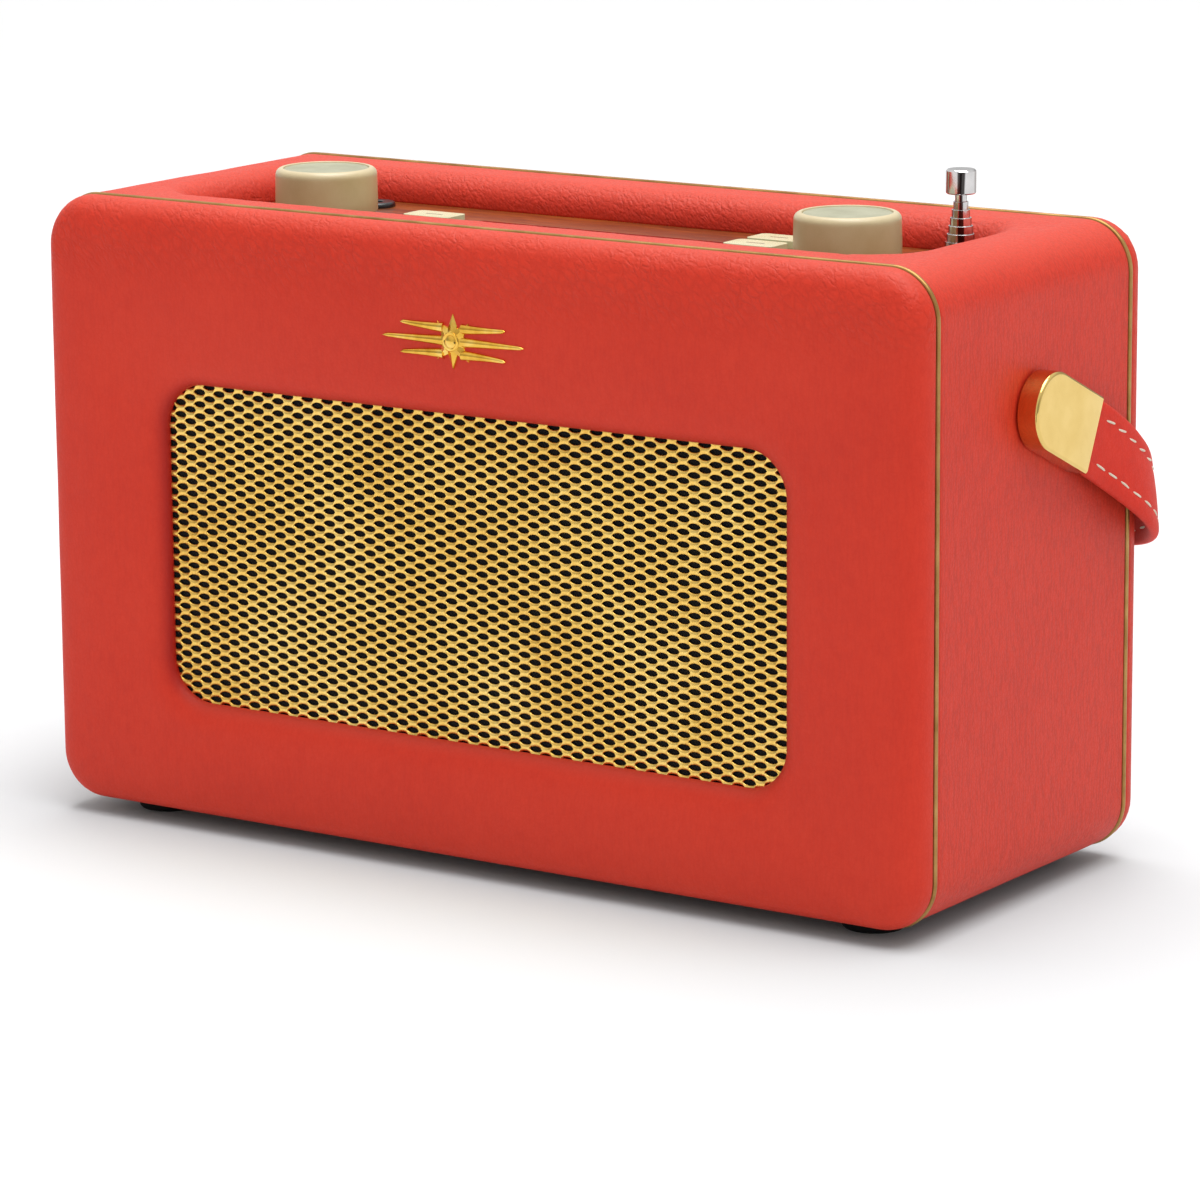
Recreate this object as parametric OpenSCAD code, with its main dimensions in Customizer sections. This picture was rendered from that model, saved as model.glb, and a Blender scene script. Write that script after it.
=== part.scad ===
// Leather portable radio: a leather-wrapped wooden cabinet with a padded front,
// a sunken control panel in the top, a telescopic aerial, a carrying strap that
// swings over the cabinet, and a battery door in the back.
// X runs across the width, Y from front to back, Z up. The origin is on the
// ground, under the centre of the cabinet.

/* [Cabinet] */
// Width of the leather-covered cabinet
body_w = 252; // [248:1:262]
// Depth of the cabinet, front face to back face
body_d = 105; // [104:1:110]
// Height of the cabinet's top edge above the ground
body_h = 156; // [155:1:160]
// Height of the rubber feet
foot_h = 3.5; // [2.5:0.5:4]
// Corner radius of the cabinet seen from the front
corner_r = 12; // [9:1:15]
// Thickness of the leather covering
leather_t = 1.2; // [1:0.1:1.4]
// Thickness of the wooden cabinet wall
wall_t = 8; // [6:0.5:8]
// Thickness of the padded front panel
front_t = 9; // [8.5:0.5:9]
// Thickness of the rear panel
rear_t = 7.5; // [7:0.5:7.5]

/* [Piping] */
// Width of the brass piping bead
pipe_w = 1.4; // [1:0.1:1.6]
// How far the bead stands proud of the leather
pipe_proud = 0.4; // [0.2:0.1:0.8]

/* [Grille] */
// Width of the grille opening
grille_w = 179; // [170:1:184]
// Lower edge of the grille opening above the ground
grille_z0 = 32.5; // [31:0.5:36]
// Upper edge of the grille opening above the ground
grille_z1 = 112; // [104:0.5:114]
// Corner radius of the grille opening
grille_r = 11; // [8:1:14]
// Depth of the mesh behind the front face
mesh_depth = 4.1; // [3.6:0.1:4.4]

/* [Control recess] */
// Depth of the control panel below the top edge
tub_depth = 8; // [7.5:0.5:8]
// Half length of the recess at the panel
tub_hx = 103; // [102:0.5:104]
// Corner radius of the recess seen from above
tub_rc = 12; // [8:1:12]
// Roll radius of the leather lip
lip_r = 7; // [6:0.5:7]

/* [Knobs] */
// Diameter of the two knobs
knob_d = 25.5; // [22:0.5:26]
// Distance of each knob from the centre line
knob_x = 76; // [74:0.5:78]
// Height of the knob tops above the ground
knob_top = 160.3; // [159.8:0.1:161]
// Push travel of the tuning knob
push_travel = 1; // [0.5:0.1:1]

/* [Keys] */
// Length of a key along the width
key_w = 14; // [12:0.5:14]
// Depth of a key
key_d = 8.5; // [7.5:0.5:8.5]
// Distance between key rows
key_pitch = 10.5; // [10.5:0.1:10.8]
// Distance of each key column from the centre line
key_x = 47; // [46.5:0.5:48]
// Height of the keys above the panel
key_proud = 2; // [1.5:0.1:2.2]

/* [Aerial] */
// Distance of the aerial right of the centre line
aerial_x = 93; // [92.5:0.5:94]
// Distance of the aerial behind the centre line
aerial_y = 22; // [21:0.5:22]
// Outer radius of the outermost tube
aerial_r = 3.68; // [3.6:0.02:3.7]
// Radius step from one tube to the next
aerial_step = 0.38; // [0.36:0.01:0.4]
// Radial running clearance between tubes
aerial_gap = 0.04; // [0.02:0.01:0.06]
// Height each tube shows above the one around it when closed
aerial_stair = 1.9; // [1.5:0.1:2.2]

/* [Carrying strap] */
// Height of the strap pivots above the ground
pivot_z = 118; // [116:0.5:120]
// Angle of the strap below horizontal at rest
strap_angle = 24.6; // [22:0.1:26]
// Distance from the pivot axis to the middle of the strap's cross run
strap_reach = 70; // [69:0.5:74]
// Width of the strap
strap_w = 18.5; // [17:0.5:20]
// Thickness of the strap
strap_t = 3.2; // [2.6:0.1:3.2]
// Radius of the strap pivots
pivot_r = 2.5; // [2:0.1:3]

/* [Battery door] */
// Half width of the door
door_hx = 53; // [52.5:0.1:53]
// Thickness of the door
door_t = 3.4; // [3:0.1:3.4]
// Height of the door's hinge pin above the ground
door_z = 18; // [17.8:0.1:18.2]

/* [Hidden] */

half_w = body_w / 2;
front_y = -body_d / 2;
back_y = body_d / 2;
front_pipe_y = front_y + front_t;      // middle of the front piping
rear_pipe_y = back_y - rear_t;         // middle of the rear piping
front_inner_y = front_pipe_y - pipe_w / 2; // back of the front panel
band_y0 = front_pipe_y + pipe_w / 2;   // front of the cabinet band
band_y1 = rear_pipe_y - pipe_w / 2;    // back of the cabinet band
rear_inner_y = rear_pipe_y + pipe_w / 2; // front of the rear panel
cavity_x = half_w - leather_t - wall_t;
cavity_z = foot_h + leather_t + wall_t;
panel_z = body_h - tub_depth;          // top of the control panel

// ---- outlines: lists of points ----
// Points on an ellipse's arc
function arc(cx, cy, rx, ry, a0, a1, steps = 8) =
  [for (i = [0:steps]) let (a = a0 + (a1 - a0) * i / steps) [cx + rx * cos(a), cy + ry * sin(a)]];
// A rectangle with rounded corners
function round_rect(x0, x1, y0, y1, r, steps = 8) = concat(
  arc(x1 - r, y1 - r, r, r, 0, 90, steps),
  arc(x0 + r, y1 - r, r, r, 90, 180, steps),
  arc(x0 + r, y0 + r, r, r, 180, 270, steps),
  arc(x1 - r, y0 + r, r, r, 270, 360, steps));
// The cabinet seen from the front
function outline(inset) = round_rect(-half_w + inset, half_w - inset,
  foot_h + inset, body_h - inset, corner_r - inset);

// ---- basic solids; cutters mostly run 1 past the faces they cut ----
// Extrusions along each axis: points are (x, z), (y, z) and (x, y)
module extrude_y(pts, y0, y1)
  translate([0, y1, 0]) rotate([90, 0, 0]) linear_extrude(height = y1 - y0) polygon(pts);
module extrude_x(pts, x0, x1)
  translate([x0, 0, 0]) rotate([90, 0, 90]) linear_extrude(height = x1 - x0) polygon(pts);
module extrude_z(pts, z0, z1)
  translate([0, 0, z0]) linear_extrude(height = z1 - z0) polygon(pts);
module rod_y(r, y0, y1, x = 0, z = 0)
  translate([x, y1, z]) rotate([90, 0, 0]) cylinder(r = r, h = y1 - y0, $fn = 48);
module rod_x(r, x0, x1, y, z)
  translate([x0, y, z]) rotate([0, 90, 0]) cylinder(r = r, h = x1 - x0, $fn = 48);
module rod_z(r, z0, z1, x = 0, y = 0)
  translate([x, y, z0]) cylinder(r = r, h = z1 - z0, $fn = 48);
// Turned solids: points are (radius, place along the axis)
module turn_y(pts) rotate([-90, 0, 0]) rotate_extrude($fn = 64) polygon(pts);
module turn_z(pts, x = 0, y = 0) translate([x, y, 0]) rotate_extrude($fn = 64) polygon(pts);
module box(x0, x1, y0, y1, z0, z1) translate([x0, y0, z0]) cube([x1 - x0, y1 - y0, z1 - z0]);
// Puts children drawn for the right (+X) side on the given side, 1 or -1
module on_side(side) mirror([side > 0 ? 0 : 1, 0, 0]) children();
module both_sides() for (side = [-1, 1]) on_side(side) children();
// Cross recess for a screw head that faces the back
module cross_slot(half_l, half_t, y0, y1) {
  box(-half_l, half_l, y0, y1, -half_t, half_t);
  box(-half_t, half_t, y0, y1, -half_l, half_l);
}

// ---- shared forms ----
tub_y0 = -28;
tub_y1 = 28.5;
// The well in the top, wider by grow all round, with a rolled lip: rings of points
// are stacked from the floor, up the wall and out over the roll
module tub_cut(grow, floor_z) {
  half_x = tub_hx + grow;
  roll = lip_r - grow;
  // Columns: distance outside the well's wall, height
  rows = concat([[0, floor_z]], arc(roll, body_h - lip_r, roll, roll, 180, 90, 7),
    [[roll, body_h + 1]]);
  rings = [for (row = rows) let (out = row[0]) round_rect(-half_x - out, half_x + out,
    tub_y0 - grow - out, tub_y1 + grow + out, tub_rc + grow + out, 6)];
  n = len(rings[0]);
  m = len(rows);
  polyhedron(
    points = [for (k = [0:m - 1], p = rings[k]) [p[0], p[1], rows[k][1]]],
    faces = concat(
      [[for (i = [0:n - 1]) i]],
      [[for (i = [0:n - 1]) m * n - 1 - i]],
      [for (k = [0:m - 2], i = [0:n - 1]) let (j = (i + 1) % n)
        [k * n + i, (k + 1) * n + i, (k + 1) * n + j, k * n + j]]));
}

// The front panel's soft outer form
module front_form(inset, y0, y1) {
  top_ry = 8 - inset;
  top_rz = 12 - inset;
  base_r = 6 - inset;
  side_rx = 7 - inset;
  side_ry = 6 - inset;
  x1 = half_w - inset;
  face_y = front_y + inset;
  z0 = foot_h + inset;
  z1 = body_h - inset;
  intersection() {
    extrude_y(outline(inset), y0, y1);
    extrude_x(concat([[y1 + 1, z0]],
      arc(face_y + base_r, z0 + base_r, base_r, base_r, 270, 180),
      arc(face_y + top_ry, z1 - top_rz, top_ry, top_rz, 180, 90),
      [[y1 + 1, z1]]), -half_w - 1, half_w + 1);
    extrude_z(concat([[-x1, y1 + 1]],
      arc(-x1 + side_rx, face_y + side_ry, side_rx, side_ry, 180, 270),
      arc(x1 - side_rx, face_y + side_ry, side_rx, side_ry, 270, 360),
      [[x1, y1 + 1]]), foot_h - 1, body_h + 1);
  }
}
// The rear panel's outer form
module rear_form(inset, y0, y1) {
  r = 5.5 - inset;
  x1 = half_w - inset;
  face_y = back_y - inset;
  z0 = foot_h + inset;
  z1 = body_h - inset;
  intersection() {
    extrude_y(outline(inset), y0, y1);
    extrude_x(concat([[y0 - 1, z0]],
      arc(face_y - r, z0 + r, r, r, 270, 360),
      arc(face_y - r, z1 - r, r, r, 0, 90),
      [[y0 - 1, z1]]), -half_w - 1, half_w + 1);
    extrude_z(concat([[-x1, y0 - 1], [x1, y0 - 1]],
      arc(x1 - r, face_y - r, r, r, 0, 90),
      arc(-x1 + r, face_y - r, r, r, 90, 180)), foot_h - 1, body_h + 1);
  }
}
module grille_form(grow, y0, y1) extrude_y(round_rect(-grille_w / 2 - grow, grille_w / 2 + grow,
  grille_z0 - grow, grille_z1 + grow, grille_r + grow), y0, y1);

// ---- cabinet ----
rear_screw_r = 1.9;
rear_screw_y = 28;  // front end of the rear screws
module at_rear_screws() for (side = [-1, 1], z = [cavity_z + 7, panel_z - 9])
  translate([side * (cavity_x - 6.5), 0, z]) children();
module corner_blocks() both_sides() {
  box(cavity_x - 14, cavity_x + 1, 26, band_y1, panel_z - 16, panel_z - 2.3);
  box(cavity_x - 14, cavity_x + 1, 26, band_y1, cavity_z - 1, cavity_z + 14);
}
module cabinet_shell() color("burlywood") difference() {
  union() {
    difference() {
      extrude_y(outline(leather_t), band_y0, band_y1);
      extrude_y(round_rect(-cavity_x, cavity_x, cavity_z, panel_z, 4), band_y0 - 1, band_y1 + 1);
    }
    corner_blocks();
  }
  tub_cut(leather_t, panel_z - 1);
  both_sides() rod_x(pivot_r, cavity_x - 1, half_w + 1, 0, pivot_z);
  at_rear_screws() rod_y(rear_screw_r, rear_screw_y, band_y1 + 1);
}
// Leather round the band and down the wall of the well
module case_leather() color("indianred") difference() {
  union() {
    difference() {
      extrude_y(outline(0), band_y0, band_y1);
      extrude_y(outline(leather_t), band_y0 - 1, band_y1 + 1);
    }
    intersection() {
      tub_cut(leather_t, panel_z);
      extrude_y(outline(0), band_y0, band_y1);
    }
  }
  tub_cut(0, panel_z - 1);
  both_sides() rod_x(pivot_r, half_w - 3, half_w + 1, 0, pivot_z);
}
module piping(y) difference() {
  extrude_y(outline(-pipe_proud), y - pipe_w / 2, y + pipe_w / 2);
  extrude_y(outline(3), y - pipe_w / 2 - 1, y + pipe_w / 2 + 1);
}
module front_piping() color("goldenrod") piping(front_pipe_y);
module rear_piping() color("goldenrod") piping(rear_pipe_y);
// One pad near each corner and one under the middle of the base
foot_places = [[-104, -34], [104, -34], [-104, 36], [104, 36], [0, 0]];
module feet() color("black") for (p = foot_places)
  turn_z([[0, 0], [7, 0], [7.6, 0.6], [8, foot_h], [0, foot_h]], p[0], p[1]);

// ---- front panel ----
pad_y = front_y + 3.5;       // where the padding meets the board
mesh_y = front_y + mesh_depth; // front of the mesh
mesh_t = 0.8;
mesh_lap = 4.5;              // reach of the mesh past the opening
cloth_y = mesh_y + mesh_t;
cloth_t = 0.6;
baffle_t = 6;
module front_board() color("peru") difference() {
  front_form(leather_t, pad_y, front_inner_y);
  grille_form(leather_t, pad_y - 1, mesh_y + 0.01);
  grille_form(mesh_lap + 0.3, mesh_y, front_inner_y + 1);
}
module front_padding() color("lightyellow") difference() {
  front_form(leather_t, front_y + leather_t, pad_y);
  grille_form(leather_t, front_y, pad_y + 1);
}
// The leather also lines the opening, back to the mesh
module front_leather() color("firebrick") difference() {
  front_form(0, front_y, front_inner_y);
  difference() {
    front_form(leather_t, front_y + leather_t, front_inner_y + 1);
    grille_form(leather_t, front_y, mesh_y);
  }
  grille_form(0, front_y - 1, mesh_y + 1);
}
module grille_mesh() color("gold") grille_form(mesh_lap, mesh_y, cloth_y);
module grille_cloth() color("black") grille_form(mesh_lap, cloth_y, cloth_y + cloth_t);
// An eight-pointed star with three tapered bars on each side
module front_ornament() color("gold") {
  star_z = grille_z1 + 18.4;
  bar_y = front_y - 2;
  extrude_y([for (i = [0:15]) let (a = i * 22.5, r = i % 2 ? 3.1 : 6.6)
    [r * sin(a), star_z + r * cos(a)]], bar_y - 0.4, front_y);
  both_sides() for (k = [-1, 0, 1]) let (x0 = 2.2, x1 = 20.3 - 5.2 * abs(k), z = star_z + 3.1 * k)
    extrude_y([[x0, z - 1.15], [x1, z - 0.35], [x1, z + 0.35], [x0, z + 1.15]], bar_y, front_y);
}
module inner_baffle() color("tan") difference() {
  union() {
    extrude_y(round_rect(-cavity_x + 0.4, cavity_x - 0.4, cavity_z + 0.4, panel_z - 4, 4),
      front_inner_y, front_inner_y + baffle_t);
    grille_form(mesh_lap, cloth_y + cloth_t, front_inner_y + 1);
  }
  rod_y(40, front_y, back_y, 0, speaker_z);
  at_speaker() speaker_holes(-baffle_t, 1);
}

// ---- loudspeaker: y = 0 is the back of the baffle, on the speaker's axis ----
speaker_z = (grille_z0 + grille_z1) / 2;
speaker_screw_r = 1.6;
speaker_screw_x = 38.5;  // distance of the screws from the axis in x and z
flange_t = 1.4;
basket_back = 19.4;
module at_speaker() translate([0, front_inner_y + baffle_t, speaker_z]) children();
module at_speaker_screws() for (sx = [-1, 1], sz = [-1, 1])
  translate([sx * speaker_screw_x, 0, sz * speaker_screw_x]) children();
module speaker_holes(y0, y1) at_speaker_screws() rod_y(speaker_screw_r, y0, y1);
module speaker_basket() color("dimgray") at_speaker() difference() {
  union() {
    extrude_y(round_rect(-45, 45, -45, 45, 8), 0, flange_t);
    turn_y([[36.5, 0.7], [41.5, 0.7], [26.5, 18], [26.5, basket_back],
      [10, basket_back], [10, 18], [25, 18]]);
  }
  rod_y(36.5, -1, flange_t);
  speaker_holes(-1, 3);
  // four windows between the ribs
  for (a = [45:90:315]) rotate([0, a, 0]) box(14, 60, 4, 15, -9, 9);
}
module speaker_magnet() color("gray") at_speaker() turn_y([
  [0, basket_back], [28, basket_back], [30, 21.4], [30, 32],
  [28, 33.6], [20, 33.6], [20, 36.4], [0, 36.4]]);
module speaker_cone() color("slategray") at_speaker() turn_y(concat(
  // front face: gasket, half-roll surround, cone and dust cap, from the rim inward
  [[39.4, 0], [39.4, -1], [36.4, -1]],
  arc(34, -1, 2.4, 2.4, 0, -180),
  [[31, -0.6], [11, 11]],
  arc(0, 12.6, 11, 4.4, -8, -90, 6),
  // back face, from the axis outward
  [[0, 9.2]],
  arc(0, 13.4, 10.4, 4.2, -90, -4, 6),
  [[11.4, 12.2], [31.4, 0.2]],
  arc(34, -0.4, 2, 2, 180, 350),
  [[36.2, 0]]));
module speaker_screws() color("silver") at_speaker() at_speaker_screws() difference() {
  union() {
    rod_y(3.2, flange_t, 3.2);
    rod_y(speaker_screw_r, -baffle_t + 0.5, 1.5);
  }
  cross_slot(2, 0.4, 2.4, 4);
}

// ---- control panel ----
key_row_y = 15;      // row 0, the rearmost, behind the display
knob_y = -1;
headphone_y = 19.5;
function row_y(row) = key_row_y - row * key_pitch;
// Columns: x, row
key_places = concat([for (row = [1:3]) [-key_x, row]], [for (row = [0:3]) [key_x, row]]);
module key_form(x, row, grow, z0, z1) extrude_z(round_rect(
  x - key_w / 2 - grow, x + key_w / 2 + grow,
  row_y(row) - key_d / 2 - grow, row_y(row) + key_d / 2 + grow, 1.5 + grow, 5), z0, z1);
module display_form(grow, r, z0, z1)
  extrude_z(round_rect(-37 - grow, 37 + grow, -15 - grow, 10.5 + grow, r), z0, z1);
module control_panel() color("saddlebrown") {
  z0 = panel_z - 3;
  z1 = panel_z + 1;
  difference() {
    union() {
      extrude_z(round_rect(-cavity_x + 4, cavity_x - 4, -37, 37, 4), panel_z - 2, panel_z);
      // pillars down to the key board
      for (x = [-25, 0, 25], y = [17, -18.5]) rod_z(2, key_board_z, panel_z - 1, x, y);
    }
    display_form(0.1, 1.5, z0, z1);
    for (p = key_places) key_form(p[0], p[1], 0.15, z0, z1);
    for (side = [-1, 1]) rod_z(3.7, z0, z1, side * knob_x, knob_y);
    rod_z(4.1, z0, z1, -knob_x, headphone_y);
    rod_z(5.3, z0, z1, aerial_x, aerial_y);
  }
}
module display_window() color("midnightblue") union() {
  display_form(0, 1.5, panel_z - 1.2, panel_z + 0.3);
  display_form(-0.6, 1.2, panel_z + 0.2, panel_z + 0.5);
}
module lcd_module() color("darkslategray") difference() {
  box(-35, 35, -14, 9.5, panel_z - 5.2, panel_z - 1.3);
  box(-31, 31, -11, 6.5, panel_z - 1.8, panel_z);
}
key_board_z = panel_z - 8;   // top of the key board
module key_board() color("darkgreen") {
  box(-56, 56, -21.5, 20.5, key_board_z - 1.6, key_board_z);
  for (p = key_places) key_switch(p[0], row_y(p[1]));
}
module key_switch(x, y) {
  box(x - 3, x + 3, y - 3, y + 3, key_board_z - 0.5, key_board_z + 2.4);
  rod_z(1.7, key_board_z + 2, key_board_z + 3, x, y);
}
module headphone_socket() color("black") translate([-knob_x, headphone_y, panel_z]) difference() {
  union() {
    box(-5.5, 5.5, -5.5, 5.5, -15, -2.1);
    rod_z(4, -3, 0.5);
    turn_z(concat([[1, 0], [4.9, 0]], arc(4.1, 0.5, 0.8, 0.8, 0, 90, 4),
      [[2.6, 1.3], [1, 0.9]]));
  }
  rod_z(1.8, -13, 2);
}
module key(x, row) {
  key_form(x, row, 0, panel_z - 3, panel_z + key_proud);
  key_form(x, row, 0.8, panel_z - 3.5, panel_z - 2.15); // flange under the panel
  rod_z(1.75, panel_z - 4.1, panel_z - 3.2, x, row_y(row));
}
module key_left_rear() color("ivory") key(-key_x, 1);
module key_left_middle() color("ivory") key(-key_x, 2);
module key_left_front() color("ivory") key(-key_x, 3);
module key_right_back() color("ivory") key(key_x, 0);
module key_right_rear() color("ivory") key(key_x, 1);
module key_right_middle() color("ivory") key(key_x, 2);
module key_right_front() color("ivory") key(key_x, 3);

// ---- knobs and encoders ----
knob_r = knob_d / 2;
knob_z = panel_z + 1.4;      // underside of the knobs
disc_z = knob_top - 0.8;     // underside of the knob discs
shaft_top = disc_z - 1.5;
shaft_r = 3;
encoder_z = panel_z - 9.5;   // underside of the encoders
bore_z = encoder_z + 0.8;    // floor of the shaft's bore
shaft_z = bore_z + 0.2;      // lower end of a shaft with no push travel
rotor_r = 5;
rotor_z0 = encoder_z + 2.4;
rotor_z1 = encoder_z + 6;
module encoders() color("silver") for (side = [-1, 1])
  translate([side * knob_x, knob_y, 0]) difference() {
    union() {
      box(-6.5, 6.5, -6.5, 6.5, encoder_z, panel_z - 2.3);
      rod_z(3.6, panel_z - 3, panel_z + 3);
    }
    rod_z(rotor_r + 0.15, rotor_z0 - 0.3, rotor_z1 + 0.3);
    rod_z(shaft_r + 0.06, bore_z, panel_z + 4);
  }
// A hollow cap with a hub; its rim stands round the disc
module knob(x) {
  skirt_r = 10.2;
  hub_z = panel_z + 5;
  rim_r = knob_r - 2.05;
  turn_z(concat([[0, disc_z], [0, shaft_top], [shaft_r, shaft_top], [shaft_r, hub_z],
    [skirt_r, hub_z], [skirt_r, knob_z], [knob_r, knob_z]],
    arc(knob_r - 2, knob_top - 2.4, 2, 2.4, 0, 90, 6),
    [[rim_r, knob_top], [rim_r, disc_z]]), x, knob_y);
}
module knob_disc(x) rod_z(knob_r - 2.15, disc_z, disc_z + 0.5, x, knob_y);
module volume_knob() color("wheat") knob(-knob_x);
module tuning_knob() color("wheat") knob(knob_x);
module volume_knob_disc() color("darkseagreen") knob_disc(-knob_x);
module tuning_knob_disc() color("darkseagreen") knob_disc(knob_x);
// The volume shaft and its rotor are one piece; the tuning shaft slides in its rotor
module volume_shaft() color("silver") {
  rod_z(shaft_r, shaft_z, shaft_top, -knob_x, knob_y);
  rod_z(rotor_r, rotor_z0, rotor_z1, -knob_x, knob_y);
}
module tuning_shaft() color("silver")
  rod_z(shaft_r, shaft_z + push_travel, shaft_top, knob_x, knob_y);
module tuning_rotor() color("gray") difference() {
  rod_z(rotor_r, rotor_z0, rotor_z1, knob_x, knob_y);
  rod_z(shaft_r + 0.05, encoder_z, encoder_z + 8, knob_x, knob_y);
}

// ---- aerial: tube 0 is the outermost ----
tube_z = 31;                 // lower end of tube 0
function tube_top(k) = panel_z + 3.7 + aerial_stair * k;
function tube_bottom(k) = tube_z + 2 * k;
function tube_r(k) = aerial_r - aerial_step * k;
module aerial_rod(r, z0, z1) rod_z(r, z0, z1, aerial_x, aerial_y);
module aerial_well() color("dimgray") difference() {
  union() {
    aerial_rod(5.2, tube_z - 3, panel_z + 0.4);
    aerial_rod(5.9, panel_z, panel_z + 0.8);
  }
  aerial_rod(aerial_r + 0.06, tube_z - 1, panel_z + 2);
}
// Tube 0 has a floor, the others are open at both ends
module tube(k) difference() {
  aerial_rod(tube_r(k), tube_bottom(k), tube_top(k));
  aerial_rod(tube_r(k + 1) + aerial_gap, tube_bottom(k) + (k == 0 ? 1 : -1), tube_top(k) + 1);
}
module aerial_tube() color("lightgray") tube(0);
module aerial_section_1() color("lightgray") tube(1);
module aerial_section_2() color("lightgray") tube(2);
module aerial_section_3() color("lightgray") tube(3);
module aerial_section_4() color("lightgray") tube(4);
module aerial_section_5() color("lightgray") tube(5);
// A solid rod with the tip
module aerial_section_6() color("lightgray") {
  tip_z = tube_top(6) - 0.1;
  aerial_rod(tube_r(6), tube_bottom(6), tip_z + 1);
  turn_z([[0, tip_z], [3.3, tip_z], [3.6, tip_z + 0.3], [3.6, tip_z + 5.4],
    [3.2, tip_z + 5.8], [0, tip_z + 5.8]], aerial_x, aerial_y);
}

// ---- carrying strap: drawn running back along Y, then tilted down about the pivots ----
cap_x0 = half_w + 0.4;       // inner face of a strap cap
cap_x1 = half_w + 6;         // outer face of a strap cap
strap_x = cap_x1 - 1.1;      // outer face of the strap
bend_r = 15;                 // inner radius of the strap's bends
bend_x = strap_x - bend_r - strap_t;
bend_y = strap_reach + strap_t / 2 - bend_r - strap_t;
module at_pivot() translate([0, 0, pivot_z]) rotate([-strap_angle, 0, 0]) children();
// A bar of length l with a half-round front end
function dee(r, l) = concat(arc(0, 0, r, r, 90, 270, 16), [[l, -r], [l, r]]);
function strap_outline(r, start_y) = concat([[bend_x + r, start_y]],
  arc(bend_x, bend_y, r, r, 0, 90), arc(-bend_x, bend_y, r, r, 90, 180),
  [[-bend_x - r, start_y]]);
module strap_cap(side) at_pivot() on_side(side) difference() {
  extrude_x(dee(9.4, 19.6), cap_x0, cap_x1);
  extrude_x(dee(8.2, 21), cap_x0 + 1.2, cap_x1 - 1);
  rod_x(pivot_r + 0.06, cap_x0 - 1, cap_x0 + 2, 0, 0);
}
module strap_cap_right() color("gold") strap_cap(1);
module strap_cap_left() color("gold") strap_cap(-1);
module carry_strap() color("firebrick") at_pivot() {
  difference() {
    extrude_z(strap_outline(bend_r + strap_t, 19.8), -strap_w / 2, strap_w / 2);
    extrude_z(strap_outline(bend_r, 18), -strap_w, strap_w);
  }
  // narrower ends inside the caps
  both_sides() box(strap_x - strap_t, strap_x, 6, 20.5, -8, 8);
}
module strap_pivots() color("silver") both_sides() {
  rod_x(pivot_r, cavity_x - 5.5, cap_x0 + 1.8, 0, pivot_z);
  rod_x(4.5, cap_x0 + 1.3, cap_x0 + 3.2, 0, pivot_z);
}
nut_t = 4;
module strap_nuts() color("gray") both_sides()
  translate([cavity_x - nut_t, 0, pivot_z]) rotate([0, 90, 0]) difference() {
    cylinder(r = 5, h = nut_t, $fn = 6);
    translate([0, 0, -1]) cylinder(r = pivot_r, h = nut_t + 2, $fn = 48);
  }

// ---- rear panel ----
door_h = 56;
door_margin = 3;             // from the door to the opening, at the sides and top
socket_z = 50;
// Columns: x, half width, half height, front y of the body, collar radius,
// bore radius, bore depth
sockets = [
  [84.5, 6.5, 7, 38, 4.4, 2.75, 9.6],
  [98, 5.5, 6, 36.5, 3.4, 1.8, 13.6]];
module door_opening(grow, y0, y1) extrude_y(round_rect(
  -door_hx - door_margin - grow, door_hx + door_margin + grow,
  door_z - 4 - grow, door_z + door_h + door_margin + grow, 3), y0, y1);
module socket_opening(grow, y0, y1) extrude_y(round_rect(76 - grow, 106 + grow,
  socket_z - 16 - grow, socket_z + 16 + grow, 3), y0, y1);
module rear_cuts(screw_r) {
  door_opening(0, rear_inner_y - 1, back_y + 1);
  socket_opening(0, rear_inner_y - 1, back_y + 1);
  at_rear_screws() rod_y(screw_r, rear_inner_y - 1, back_y + 1);
}
module rear_board() color("peru") difference() {
  rear_form(leather_t, rear_inner_y, back_y - leather_t);
  rear_cuts(rear_screw_r);
}
module rear_leather() color("indianred") difference() {
  rear_form(0, rear_inner_y, back_y);
  rear_form(leather_t, rear_inner_y - 1, back_y - leather_t);
  rear_cuts(3.6);
}
module rear_screws() color("silver") at_rear_screws() difference() {
  union() {
    rod_y(3.4, back_y - leather_t, back_y + 0.6);
    rod_y(rear_screw_r, rear_screw_y, back_y - leather_t + 0.1);
  }
  cross_slot(2.2, 0.45, back_y - 0.6, back_y + 1);
}
module socket_plate() color("black") difference() {
  socket_opening(-0.2, back_y - 3.2, back_y + 0.4);
  for (s = sockets) rod_y(s[4] + 0.1, back_y - 5, back_y + 1, s[0], socket_z);
}
module rear_sockets() color("dimgray") {
  for (s = sockets) difference() {
    union() {
      box(s[0] - s[1], s[0] + s[1], s[3], back_y - 3.2, socket_z - s[2], socket_z + s[2]);
      rod_y(s[4], back_y - 4, back_y + 0.4, s[0], socket_z);
    }
    rod_y(s[5], back_y - s[6], back_y + 1, s[0], socket_z);
  }
  // centre pin of the first socket
  rod_y(1, back_y - 10, back_y - 1, sockets[0][0], socket_z);
}

// ---- battery compartment ----
door_y = back_y - 0.2;       // outer face of the door
pin_y = door_y - door_t / 2;
pin_r = 0.8;
cell_y = 30.5;
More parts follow.
